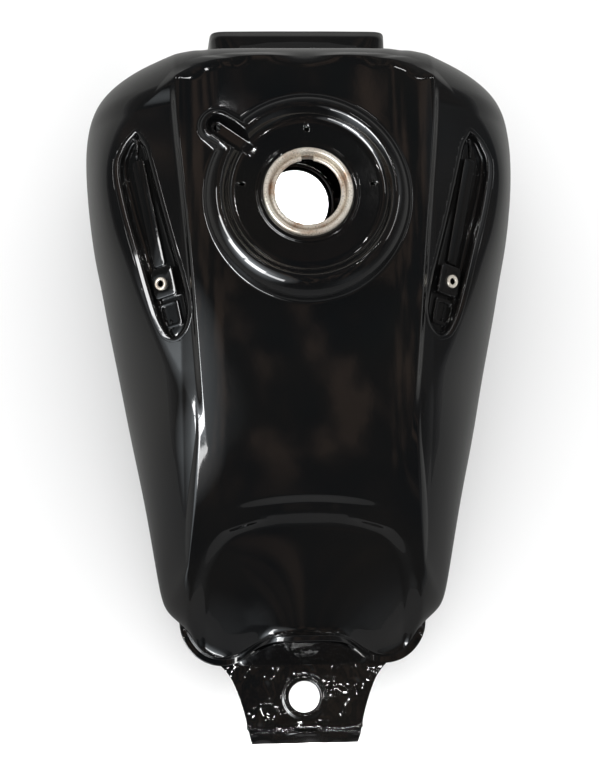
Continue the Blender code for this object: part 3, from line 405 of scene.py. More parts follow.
# every carried-over node gets its material
PAINTED = ("outer_shell", "tunnel_shell", "left_bottom_pan", "right_bottom_pan", "left_pocket_tray", "right_pocket_tray",
           "left_cover_bracket", "right_cover_bracket", "rear_mount_bracket", "rear_bracket_doubler",
           "left_front_mount_cup", "right_front_mount_cup", "left_lower_tab", "right_lower_tab")
for name, obj in frame["nodes"].items():
    mat = PAINT if name in PAINTED else (STEEL if name in ("filler_neck", "left_cover_nut", "right_cover_nut") else ZINC)
    obj.data.materials.clear()
    obj.data.materials.append(mat)


# ---------------------------------------------------------------- outer shell
def mirrored(rows):
    rows = np.asarray(rows, float)
    left = rows[1:-1][::-1].copy()
    left[:, [0, 2, 4, 7, 10]] *= -1.0
    return np.vstack([rows, left])


def dense_stations():
    rows = mirrored(STATIONS)
    n = len(rows)
    s = rows[:, 4:6]
    a = rows[:, 0:2]
    ang = np.unwrap(np.arctan2(a[:, 1] - FILLER_Y, a[:, 0] - FILLER_X))
    where = []
    for k in range(n):
        j = (k + 1) % n
        turn = abs((ang[j] - ang[k] + math.pi) % (2 * math.pi) - math.pi)
        count = int(np.clip(math.ceil(max(turn * 90.0 / 1.3, np.hypot(*(s[j] - s[k])) / 2.2, np.hypot(*(a[j] - a[k])) / 1.8)), 5, 22))
        where += list(k + np.arange(count) / count)
    return periodic(rows, np.array(where))


DENSE = dense_stations()


def spread(lo, hi, count, power=1.0):
    t = np.linspace(0.0, 1.0, count + 1)[1:]
    return lo + (hi - lo) * t ** power


def shell_points():
    d = DENSE
    centre = np.array([FILLER_X, FILLER_Y])
    A, C, S, M, L, W = d[:, 0:2], d[:, 2:4], d[:, 4:7], d[:, 7:10], d[:, 10:13], d[:, 13]
    out = A - centre
    out /= np.linalg.norm(out, axis=1)[:, None]
    side = np.roll(A, -1, 0) - np.roll(A, 1, 0)
    normal = np.column_stack([side[:, 1], -side[:, 0]])
    normal /= np.linalg.norm(normal, axis=1)[:, None]
    sside = np.roll(S[:, :2], -1, 0) - np.roll(S[:, :2], 1, 0)
    snormal = np.column_stack([sside[:, 1], -sside[:, 0]])
    snormal /= np.linalg.norm(snormal, axis=1)[:, None]
    line = S[:, :2] - C
    cosine = np.clip((line * snormal).sum(1) / np.linalg.norm(line, axis=1), 0.5, 1.0)
    rings = []

    def put(xy, fade=1.0):
        x, y = xy[:, 0], xy[:, 1]
        z = seat_recess(x, y, platform(x, y))
        s = np.clip(np.linalg.norm(S[:, :2] - xy, axis=1) * cosine / W, 0.0, 1.0)
        z = S[:, 2] + (z - S[:, 2]) * np.sqrt(np.clip(1.0 - (1.0 - s) ** 2, 0.0, 1.0))
        rings.append(np.column_stack([x, y, turret(x, y, z)]))

    radii = np.concatenate([[33.8, 35.2, 36.3], np.arange(37.2, 40.4, 0.25), spread(40.2, 57.0, 8), np.arange(57.5, 88.0, 0.75)])
    for r in radii:
        put(centre + out * r)
    start = centre + out * radii[-1]
    for t in spread(0.0, 1.0, 84):
        put(start + (A - start) * t)
    b = A + normal * 5.2
    for t in spread(0.0, 1.0, 8):
        put(A + (b - A) * t)
    for t in spread(0.0, 1.0, 26):
        put(b + (C - b) * t)
    for t in spread(0.0, 1.0, 84):
        q = math.sin(t * math.pi / 2) if t < 1 else 1.0
        q = 0.5 * q + 0.5 * t
        put(C + (S[:, :2] - C) * q)
    rings[-1] = S.copy()
    for t in spread(0.0, 1.0, 34):
        u = t * math.pi / 2
        xy = S[:, :2] + (M[:, :2] - S[:, :2]) * (1 - math.cos(u))
        z = S[:, 2] - (S[:, 2] - M[:, 2]) * math.sin(u)
        rings.append(np.column_stack([xy, z]))
    for t in spread(0.0, 1.0, 5):
        rings.append(M + L * t)
    return np.array(rings)


SHELL = shell_points()
RINGS, COUNT = SHELL.shape[:2]
QUADS = grid_faces(RINGS, COUNT, True, True)
SURFACE = BVHTree.FromPolygons([tuple(p) for p in SHELL.reshape(-1, 3)], [tuple(f) for f in QUADS.tolist()])


def surface_z(x, y):
    """Height of the uncut top pressing."""
    hit = SURFACE.ray_cast(Vector((x, y, 400.0)), Vector((0, 0, -1)))
    return hit[0].z if hit[0] is not None else float("nan")


def fillet(outline, radius, per=9):
    """Closed outline with every corner rounded, as evenly spread points."""
    pts = [np.array(p, float) for p in outline]
    out = []
    n = len(pts)
    for i in range(n):
        a, b, c = pts[i - 1], pts[i], pts[(i + 1) % n]
        u, v = a - b, c - b
        lu, lv = np.linalg.norm(u), np.linalg.norm(v)
        u, v = u / lu, v / lv
        reach = min(radius[i] if hasattr(radius, "__len__") else radius, lu * 0.48, lv * 0.48)
        for t in np.linspace(0.0, 1.0, per):
            out.append((1 - t) ** 2 * (b + u * reach) + 2 * t * (1 - t) * b + t * t * (b + v * reach))
    loop = np.array(out)
    step = np.linalg.norm(np.roll(loop, -1, 0) - loop, axis=1)
    keep = step > 1e-6
    loop = loop[keep]
    length = np.concatenate([[0.0], np.cumsum(np.linalg.norm(np.roll(loop, -1, 0) - loop, axis=1))])
    closed = np.vstack([loop, loop[:1]])
    at = np.arange(0.0, length[-1], 0.9)
    return np.column_stack([np.interp(at, length, closed[:, 0]), np.interp(at, length, closed[:, 1])])


def inset(loop, d):
    """Offsets a closed loop inwards by d (a number or one for each point)."""
    side = np.roll(loop, -1, 0) - np.roll(loop, 1, 0)
    normal = np.column_stack([-side[:, 1], side[:, 0]])
    normal /= np.linalg.norm(normal, axis=1)[:, None]
    area = 0.5 * np.sum(loop[:, 0] * np.roll(loop[:, 1], -1) - np.roll(loop[:, 0], -1) * loop[:, 1])
    return loop + normal * (np.sign(area) * np.asarray(d, float).reshape(-1, 1))


def signed_distance(points, loop):
    """Distance to a closed loop, negative inside."""
    a, b = loop, np.roll(loop, -1, 0)
    ab = b - a
    t = np.clip(((points[:, None] - a) * ab).sum(2) / (ab * ab).sum(1), 0.0, 1.0)
    gap = np.linalg.norm(a + t[..., None] * ab - points[:, None], axis=2).min(1)
    x, y = points[:, 0][:, None], points[:, 1][:, None]
    crosses = ((a[:, 1] > y) != (b[:, 1] > y)) & (x < (b[:, 0] - a[:, 0]) * (y - a[:, 1]) / (b[:, 1] - a[:, 1] + 1e-12) + a[:, 0])
    return np.where(crosses.sum(1) % 2 == 1, -gap, gap)


def circle(x, y, r, n=64):
    t = np.arange(n) * 2 * math.pi / n
    return np.column_stack([x + r * np.cos(t), y + r * np.sin(t)])


def cut_grid(grid, loops, flip=True, closed=True):
    """Cuts holes in a grid of points: the points nearest a hole's edge move onto it, and what is inside goes."""
    rows, cols = grid.shape[:2]
    pts = grid.reshape(-1, 3).copy()
    index = np.arange(rows * cols).reshape(rows, cols)
    pairs = [np.stack([index[:-1], index[1:]], 2).reshape(-1, 2)]
    if closed:
        pairs.append(np.stack([index, np.roll(index, -1, 1)], 2).reshape(-1, 2))
    else:
        pairs.append(np.stack([index[:, :-1], index[:, 1:]], 2).reshape(-1, 2))
    pairs = np.vstack(pairs)
    state = np.ones(len(pts), int)
    for loop in loops:
        lo, hi = loop.min(0) - 6.0, loop.max(0) + 6.0
        near = np.where((pts[:, :2] > lo).all(1) & (pts[:, :2] < hi).all(1))[0]
        dist = np.full(len(pts), 99.0)
        dist[near] = signed_distance(pts[near, :2], loop)
        d0, d1 = dist[pairs[:, 0]], dist[pairs[:, 1]]
        cross = np.where((d0 * d1 < 0) & (np.abs(d0) < 50) & (np.abs(d1) < 50))[0]
        t = np.abs(d0[cross]) / (np.abs(d0[cross]) + np.abs(d1[cross]))
        first = t < 0.5
        who = np.where(first, pairs[cross, 0], pairs[cross, 1])
        other = np.where(first, pairs[cross, 1], pairs[cross, 0])
        share = np.where(first, t, 1 - t)
        order = np.argsort(-share)
        target = {}
        for k in order:
            target[int(who[k])] = pts[who[k]] + (pts[other[k]] - pts[who[k]]) * share[k]
        inside = dist < 0
        state[inside] = -1
        for k, q in target.items():
            pts[k] = q
            state[k] = 0
    quads = grid_faces(rows, cols, closed, flip)
    st = state[quads]
    has_in, has_out = (st < 0).any(1), (st > 0).any(1)
    keep = quads[~has_in & (has_out | (st == 0).all(1))]
    keep = keep[(state[keep] != 0).any(1)]
    mixed = quads[has_in & has_out]
    tris = []
    for q in mixed:
        f = state[q]
        for a in range(4):
            tri = (q[a], q[(a + 1) % 4], q[(a + 2) % 4])
            if f[a] == 0 and f[(a + 2) % 4] == 0 and f[(a + 1) % 4] > 0:
                tris.append(tri)
    return pts, keep, np.array(tris, int).reshape(-1, 3)


def mesh_mixed(name, pts, quads, tris):
    used = np.unique(np.concatenate([quads.ravel(), tris.ravel()]))
    remap = np.full(len(pts), -1)
    remap[used] = np.arange(len(used))
    pts, quads, tris = pts[used], remap[quads], remap[tris]
    mesh = bpy.data.meshes.new(name)
    mesh.vertices.add(len(pts))
    mesh.vertices.foreach_set("co", (np.asarray(pts, np.float32) * np.float32(0.001)).ravel())
    loops = np.concatenate([quads.ravel(), tris.ravel()]).astype(np.int32)
    starts = np.concatenate([np.arange(len(quads)) * 4, len(quads) * 4 + np.arange(len(tris)) * 3]).astype(np.int32)
    mesh.loops.add(len(loops))
    mesh.loops.foreach_set("vertex_index", loops)
    mesh.polygons.add(len(quads) + len(tris))
    mesh.polygons.foreach_set("loop_start", starts)
    mesh.update(calc_edges=True)
    mesh.validate()
    mesh.shade_smooth()
    return mesh


CAP_SCREWS = (("left", 172.0), ("front", 90.0), ("right", 8.0))
DRAIN_X = FILLER_X + (GROOVE_END_R - 3.0) * math.cos(GROOVE_ANGLE)
DRAIN_Y = FILLER_Y + (GROOVE_END_R - 3.0) * math.sin(GROOVE_ANGLE)
POCKET_LOOP = fillet(POCKET, [5.0, 3.5, 5.0, 6.0] + [14.0] * 4 + [8.0, 6.0, 6.0, 7.0] + [14.0] * 4)
holes = [POCKET_LOOP * np.array([sx, 1.0]) for sx in (-1.0, 1.0)]
for _, angle in CAP_SCREWS:
    a = math.radians(angle)
    holes.append(circle(FILLER_X + CAP_PCD_R * math.cos(a), FILLER_Y + CAP_PCD_R * math.sin(a), 2.2, 32))
holes.append(circle(DRAIN_X, DRAIN_Y, 2.6, 32))
shell = piece("tank_shell", mesh_mixed("tank_shell", *cut_grid(SHELL, holes)), PAINT, "outer_shell")
solidify(shell, SHEET, -1.0)


# ---------------------------------------------------------------- pockets, cover brackets and nuts
def facet_plane():
    pts = np.array([(x, y, surface_z(x, y)) for x, y in POCKET])
    a = np.column_stack([pts[:, 0], pts[:, 1], np.ones(len(pts))])
    return np.linalg.lstsq(a, pts[:, 2], rcond=None)[0]


PX, PY, PC = facet_plane()


def floor_z(x, y):
    return PX * np.abs(x) + PY * y + PC - POCKET_DEPTH


AXIS_A, AXIS_B = np.array([103.0, 32.0]), np.array([130.0, 168.0])
ALONG = (AXIS_B - AXIS_A) / np.linalg.norm(AXIS_B - AXIS_A)
ACROSS = np.array([ALONG[1], -ALONG[0]])
TRAY = [(0.4, 0.02), (0.8, 0.10), (1.2, 0.32), (1.55, 0.70), (1.8, 1.25), (1.95, 2.0), (2.25, 3.6), (2.6, 5.4),
        (2.85, 6.6), (3.15, 7.5), (3.65, 8.25), (4.4, 8.75), (5.4, 9.0)]


def add_mesh(name, pts, faces):
    """General faces of any size."""
    mesh = bpy.data.meshes.new(name)
    mesh.from_pydata([tuple(float(c) * 0.001 for c in p) for p in pts], [], [tuple(int(i) for i in f) for f in faces])
    mesh.update()
    mesh.validate()
    mesh.shade_smooth()
    return mesh


def face_up(mesh, up=True):
    bm = bmesh.new()
    bm.from_mesh(mesh)
    bmesh.ops.recalc_face_normals(bm, faces=bm.faces)
    bm.faces.ensure_lookup_table()
    total = sum(f.normal.z * f.calc_area() for f in bm.faces)
    if (total < 0) == up:
        bmesh.ops.reverse_faces(bm, faces=bm.faces)
    bm.to_mesh(mesh)
    bm.free()
    return mesh


def pocket(side, sx):
    loop = POCKET_LOOP
    n = len(loop)
    s = np.roll(loop, -1, 0) - np.roll(loop, 1, 0)
    outward = np.column_stack([s[:, 1], -s[:, 0]])
    outward /= np.linalg.norm(outward, axis=1)[:, None]
    area = 0.5 * np.sum(loop[:, 0] * np.roll(loop[:, 1], -1) - np.roll(loop[:, 0], -1) * loop[:, 1])
    outward *= np.sign(area)
    gentle = 1.0 + 1.3 * np.clip(outward @ ACROSS, 0.0, 1.0) ** 2
    rings = []
    for e, h in ((-1.7, -0.06), (-1.2, 0.10), (-0.6, 0.13), (0.0, 0.09)):
        xy = inset(loop, e)
        rings.append(np.column_stack([xy, np.array([surface_z(x, y) for x, y in xy]) + h]))
    for e, h in TRAY:
        w = h / 9.0
        xy = inset(loop, e * gentle if e > 0.5 else e)
        base = np.array([surface_z(x, y) for x, y in xy])
        flat = floor_z(xy[:, 0], xy[:, 1])
        z = (base - h) * (1 - w ** 2) + flat * w ** 2
        rings.append(np.column_stack([xy, z]))
    last = rings[-1][:, :2]
    along = np.clip((last - AXIS_A) @ ALONG, 6.0, 130.0)
    spine = AXIS_A + along[:, None] * ALONG
    for t in (0.12, 0.3, 0.5, 0.7, 0.86):
        xy = last + (spine - last) * t
        rings.append(np.column_stack([xy, floor_z(xy[:, 0], xy[:, 1])]))
    pts = np.vstack(rings) * np.array([sx, 1.0, 1.0])
    faces = grid_faces(len(rings), n).tolist()
    base = (len(rings) - 1) * n
    faces.append(list(range(base, base + n)))
    mesh = face_up(add_mesh(side + "_pocket_pressing", pts, faces))
    obj = piece(side + "_pocket_pressing", mesh, PAINT, side + "_pocket_tray")
    solidify(obj, SHEET, -1.0)
    return obj


def raised(name, loop, low, high, sx, bevel=0.8, mat=None, opening=None, nodes=(), slot="gloss_black_paint"):
    """A plate of closed outline standing on the pocket floor, its upper edges rounded, with an optional opening."""
    steps = [(0.0, low), (0.0, high - bevel), (bevel * 0.13, high - bevel * 0.5), (bevel * 0.5, high - bevel * 0.13), (bevel, high)]
    rings = []
    for d, h in steps:
        xy = inset(loop, d)
        rings.append(np.column_stack([xy, floor_z(xy[:, 0], xy[:, 1]) + h]))
    n = len(loop)
    if opening is not None:
        for d, h in steps[::-1]:
            xy = inset(opening, -d)
            rings.append(np.column_stack([xy, floor_z(xy[:, 0], xy[:, 1]) + h]))
    pts = np.vstack(rings) * np.array([sx, 1.0, 1.0])
    faces = grid_faces(len(rings), n).tolist()
    if opening is not None:
        m = (len(rings) - 1) * n
        faces += [[m + k, m + (k + 1) % n, (k + 1) % n, k] for k in range(n)]
    else:
        faces.append(list(range((len(rings) - 1) * n, len(rings) * n)))
        faces.append(list(range(n))[::-1])
    mesh = add_mesh(name, pts, faces)
    bm = bmesh.new()
    bm.from_mesh(mesh)
    bmesh.ops.recalc_face_normals(bm, faces=bm.faces)
    bm.to_mesh(mesh)
    bm.free()
    mesh.set_sharp_from_angle(angle=math.radians(50.0))
    return piece(name, mesh, mat or PAINT, *nodes, slot=slot)


def strip_loop(s0, s1, v0, v1, radius, taper=0.0):
    corners = [(s0, v0 + taper), (s1, v0), (s1, v1), (s0, v1 - taper)]
    return fillet([AXIS_A + ALONG * s + ACROSS * v for s, v in corners], radius)


def ring_loop(centre, radius, n):
    t = np.arange(n) * 2 * math.pi / n
    return np.array(centre) + radius * np.column_stack([np.cos(t), np.sin(t)])


PAD = float((np.array([PAD_X, PAD_Y]) - AXIS_A) @ ALONG)
for side, sx in (("left", -1.0), ("right", 1.0)):
    pocket(side, sx)
    raised(side + "_cover_strip", strip_loop(PAD + 14.0, 131.0, -4.6, 5.0, 3.0), 0.35, 2.6, sx, 0.7, nodes=(side + "_cover_bracket",))
    pad = strip_loop(PAD - 11.0, PAD + 12.0, -9.0, 8.6, 3.5)
    opening = ring_loop((PAD_X, PAD_Y), 2.8, len(pad))
    start = int(np.argmin(np.linalg.norm(pad - (opening[0] + (opening[0] - np.array([PAD_X, PAD_Y])) * 3.0), axis=1)))
    pad = np.roll(pad, -start, 0)
    if np.sum(pad[:, 0] * np.roll(pad[:, 1], -1) - np.roll(pad[:, 0], -1) * pad[:, 1]) < 0:
        pad = np.roll(pad[::-1], 1, 0)
    raised(side + "_cover_pad", pad, 0.35, 6.6, sx, 1.2, opening=opening)
    outer = strip_loop(PAD - 34.0, PAD - 13.5, -8.2, 7.8, 3.0)
    inner = strip_loop(PAD - 31.0, PAD - 16.5, -5.4, 5.0, 2.0)
    at = np.linspace(0, len(inner), len(outer), endpoint=False)
    closed = np.vstack([inner, inner[:1]])
    inner = np.column_stack([np.interp(at, np.arange(len(closed)), closed[:, 0]), np.interp(at, np.arange(len(closed)), closed[:, 1])])
    raised(side + "_cover_window", outer, 0.35, 2.2, sx, 0.6, opening=inner)
    normal = Vector((-PX * sx, -PY, 1.0)).normalized()
    top = Vector((sx * PAD_X, PAD_Y, float(floor_z(PAD_X, PAD_Y)) + 6.6))
    prof = [(2.6, 0.2), (2.6, 1.2), (2.9, 1.55), (3.4, 1.75), (4.2, 1.75), (4.75, 1.5), (5.0, 1.0), (5.0, 0.2), (2.6, 0.2)]
    mesh = lathe(side + "_cover_boss", prof, (0, 0, 0), 72, False)
    turn = Vector((0, 0, 1)).rotation_difference(normal).to_matrix().to_4x4()
    mesh.transform(Matrix.Translation(top * 0.001) @ turn)
    bm = bmesh.new()
    bm.from_mesh(mesh)
    bmesh.ops.remove_doubles(bm, verts=bm.verts, dist=1e-7)
    bmesh.ops.recalc_face_normals(bm, faces=bm.faces)
    bm.to_mesh(mesh)
    bm.free()
    mesh.set_sharp_from_angle(angle=math.radians(50.0))
    piece(side + "_cover_boss", mesh, STEEL, side + "_cover_nut", slot="bare_steel")


# ---------------------------------------------------------------- filler neck
def filler_neck():
    """Neck spun from sheet: rolled lip, valley, narrow inner ledge for the cap's seal, wider tube below."""
    lip = [(31.7 + 1.95 * math.cos(a), 241.05 + 1.95 * math.sin(a)) for a in np.radians(np.arange(0, 181, 15))]
    bead = [(26.4 + 1.7 * math.cos(a), 238.2 + 1.5 * math.sin(a)) for a in np.radians(np.arange(0, 181, 20))]
    prof = [(31.2, 222.0), (31.8, 229.0), (33.2, 231.2), (33.65, 232.4), (33.65, 238.0)] + lip
    prof += [(29.6, 239.6), (29.3, 238.0), (28.7, 237.3)] + bead[1:] + [(24.65, 237.4), (25.0, 236.9), (26.0, 236.7), (30.2, 236.7), (30.6, 236.2),
             (30.6, 231.0), (30.4, 226.0), (30.4, 222.0), (31.2, 222.0)]
    prof = np.array(prof)
    steps = 240
    t = np.arange(steps) * 2 * math.pi / steps
    r = np.repeat(prof[:, 0][:, None], steps, 1)
    z = np.repeat(prof[:, 1][:, None], steps, 1)
    ledge = (prof[:, 1] > 236.6) & (prof[:, 0] < 28.9)
    turn = np.degrees((t - math.pi / 2 + math.pi) % (2 * math.pi) - math.pi)
    notch = 1.0 - smoothstep(9.0, 10.5, np.abs(turn))
    r[ledge] = r[ledge] + (28.9 + 0.12 * (r[ledge] - 26.4) - r[ledge]) * notch
    z[ledge] = z[ledge] + (237.0 + 0.2 * (z[ledge] - 237.0) - z[ledge]) * notch
    x = FILLER_X + r * np.cos(t)
    y = FILLER_Y + r * np.sin(t)
    mesh = mesh_from("filler_neck_ring", np.stack([x, y, z], 2).reshape(-1, 3), grid_faces(len(prof), steps, True))
    bm = bmesh.new()
    bm.from_mesh(mesh)
    bmesh.ops.remove_doubles(bm, verts=bm.verts, dist=1e-7)
    bmesh.ops.recalc_face_normals(bm, faces=bm.faces)
    bm.to_mesh(mesh)
    bm.free()
    mesh.set_sharp_from_angle(angle=math.radians(55.0))
    return piece("filler_neck_ring", mesh, STEEL, "filler_neck", slot="bare_steel")


filler_neck()


def sender_lip():
    """Flanged edge that narrows the gauge sender opening in the tunnel roof."""
    prof = [(33.0, -0.9), (32.2, -1.1), (30.6, -1.1), (29.0, -1.8), (28.3, -3.0), (28.1, -4.2), (27.3, -4.2), (27.5, -2.8), (28.3, -1.0),
            (30.2, 0.0), (32.2, 0.1), (33.0, 0.0), (33.0, -0.9)]
    node = frame["nodes"]["sender_ring"]
    corners = [node.matrix_world @ v.co for v in node.data.vertices]
    lo = [min(c[k] for c in corners) for k in range(3)]
    hi = [max(c[k] for c in corners) for k in range(3)]
    middle = Vector([(a + b) / 2 for a, b in zip(lo, hi)])
    tilt = math.atan2(hi[2] - lo[2], hi[1] - lo[1])
    axis = Vector((0.0, -math.sin(tilt), math.cos(tilt)))
    mesh = lathe("sender_lip", prof, (0, 0, 0), 120)
    turn = Vector((0, 0, 1)).rotation_difference(axis).to_matrix().to_4x4()
    mesh.transform(Matrix.Translation(middle + axis * 0.0062) @ turn)
    bm = bmesh.new()
    bm.from_mesh(mesh)
    bmesh.ops.remove_doubles(bm, verts=bm.verts, dist=1e-7)
    bmesh.ops.recalc_face_normals(bm, faces=bm.faces)
    bm.to_mesh(mesh)
    bm.free()
    mesh.set_sharp_from_angle(angle=math.radians(50.0))
    return piece("sender_lip", mesh, PAINT)


sender_lip()


# ---------------------------------------------------------------- rear bracket
def rear_bracket():
    front = natural([0.0, 12.0, 22.0, 31.0, 40.0, 48.0, 54.0, 62.0, 80.0, 96.0], [-208.3, -208.3, -209.0, -211.2, -215.6, -220.6, -222.4, -216.0, -204.0, -198.6])
    rise = monotone([0.0, 14.0, 26.0, 36.0, 45.0, 53.0, 58.0, 100.0], [41.5, 41.0, 36.0, 25.0, 10.0, 1.2, 0.0, 0.0])
    rear = monotone([-98.0, -92.5, -82.0, -72.0, -61.0, -55.0, -50.5, -47.2, -45.2, -44.0], [-198.6, -206.0, -214.5, -223.5, -236.5, -250.0, -264.0, -278.0, -287.0, -291.0])
    cols = np.concatenate([np.linspace(0.0, 44.0, 60), np.linspace(44.4, 96.0, 70)])
    rows = 110
    grid = np.zeros((2 * len(cols) - 1, rows, 3))
    t = np.linspace(0.0, 1.0, rows)
    for i, x in enumerate(cols):
        yf = float(front(x))
        yr = -291.0 if x <= 44.0 else float(rear(-x))
        y = yf + (yr - yf) * t
        fold = max(-226.5, yf + (yr - yf) * 0.5)
        slope = np.clip((yf - y) / max(yf - fold, 1.0), 0.0, 1.0)
        z = TAB_TOP + float(rise(x)) * (1.0 - slope) ** 1.12
        r = np.hypot(x, y - TAB_HOLE_Y)
        z = z + 1.3 * smoothstep(13.0, 14.2, r) * (1.0 - smoothstep(16.6, 19.4, r))
        d = np.hypot(x / 9.5, (y + 215.5) / 3.6)
        z = z - 1.6 * (1.0 - smoothstep(0.75, 1.1, d))
        wave = 1.3 * math.sin(x * 0.16 + 0.9) + 0.8 * math.sin(x * 0.31)
        lip = smoothstep(-282.5, -290.0, y) if x <= 49 else 0.0 * y
        lip = np.clip((-283.0 - y) / 8.0, 0.0, 1.0) if x <= 49 else 0.0 * y
        z = z - (4.6 + wave) * lip ** 2 + (1.4 + 0.7 * wave) * np.exp(-((y + 282.0) / 2.2) ** 2) * (x <= 49)
        for sx, k in ((1, len(cols) - 1 + i), (-1, len(cols) - 1 - i)):
            wx = 1.3 * math.sin(sx * x * 0.16 + 0.9) + 0.8 * math.sin(sx * x * 0.31)
            zz = z + (wave - wx) * lip ** 2
            grid[k] = np.column_stack([np.full(rows, sx * x), y + 0.9 * wx * lip ** 3 * 0.0, zz])
    return grid


BRACKET = rear_bracket()
pts, quads, tris = cut_grid(BRACKET, [circle(0.0, TAB_HOLE_Y, TAB_HOLE_R, 96)], False, False)
mesh = face_up(mesh_mixed("rear_bracket", pts, quads, tris))
bracket = piece("rear_bracket", mesh, HAND_PAINT, "rear_mount_bracket")
solidify(bracket, TAB_THICK, -1.0)
bevel = bracket.modifiers.new("edge", "BEVEL")
bevel.width = 0.0005
bevel.segments = 2
bevel.limit_method = "ANGLE"
bevel.angle_limit = math.radians(50.0)

# ---------------------------------------------------------------- stage, light, camera
def zero(tree):
    node = tree.nodes.new("ShaderNodeValue")
    node.outputs[0].default_value = 0.0
    return node.outputs[0]


def side_share(tree, split):
    """|x| / (|x| + distance behind): 0 straight behind, 1 anywhere beside or ahead."""
    def maths(operation, a, b=None):
        node = tree.nodes.new("ShaderNodeMath")
        node.operation = operation
        link(tree, a, node.inputs[0])
        if b is not None:
            link(tree, b, node.inputs[1])
        return node.outputs[0]

    ax = maths("ABSOLUTE", split.outputs["X"])
    behind = maths("ABSOLUTE", maths("MINIMUM", split.outputs["Y"], maths("MULTIPLY", ax, zero(tree))))
    return maths("DIVIDE", ax, maths("ADD", ax, behind))


def floor():
    bm = bmesh.new()
    bmesh.ops.create_grid(bm, x_segments=2, y_segments=2, size=6.0)
    mesh = bpy.data.meshes.new("floor")
    bm.to_mesh(mesh)
    bm.free()
    obj = bpy.data.objects.new("floor", mesh)
    bpy.context.scene.collection.objects.link(obj)
    obj.location.z = -0.0004
    mat, tree, shader = nodes_of("pale_floor")
    tone = noise(tree, 2.0, 2.0)
    colour = ramp(tree, tone.outputs["Fac"], [(0.3, (0.90, 0.90, 0.90, 1.0)), (0.7, (0.93, 0.93, 0.93, 1.0))])
    # Painted shade: for reflected rays the floor turns a dark grey of 0.13 to 0.22, darkest straight behind the tank,
    # standing in for the shadowed floor round the tank; the camera still sees the pale colour.
    path = tree.nodes.new("ShaderNodeLightPath")
    pick = tree.nodes.new("ShaderNodeMix")
    pick.data_type = "RGBA"
    link(tree, path.outputs["Is Glossy Ray"], pick.inputs["Factor"])
    link(tree, colour.outputs["Color"], pick.inputs["A"])
    coord = tree.nodes.new("ShaderNodeTexCoord")
    split = tree.nodes.new("ShaderNodeSeparateXYZ")
    link(tree, coord.outputs["Object"], split.inputs["Vector"])
    seen = ramp(tree, side_share(tree, split), [(0.30, (0.13, 0.13, 0.13, 1.0)), (0.55, (0.17, 0.17, 0.168, 1.0)), (0.8, (0.22, 0.22, 0.215, 1.0))])
    link(tree, seen.outputs["Color"], pick.inputs["B"])
    link(tree, pick.outputs["Result"], shader.inputs["Base Color"])
    shader.inputs["Roughness"].default_value = 0.9
    shader.inputs["Specular IOR Level"].default_value = 0.0
    mesh.materials.append(mat)
    return obj


floor()


def multiply(tree, a, b):
    mix = tree.nodes.new("ShaderNodeMix")
    mix.data_type = "RGBA"
    mix.blend_type = "MULTIPLY"
    mix.inputs["Factor"].default_value = 1.0
    link(tree, a, mix.inputs["A"])
    link(tree, b, mix.inputs["B"])
    return mix.outputs["Result"]


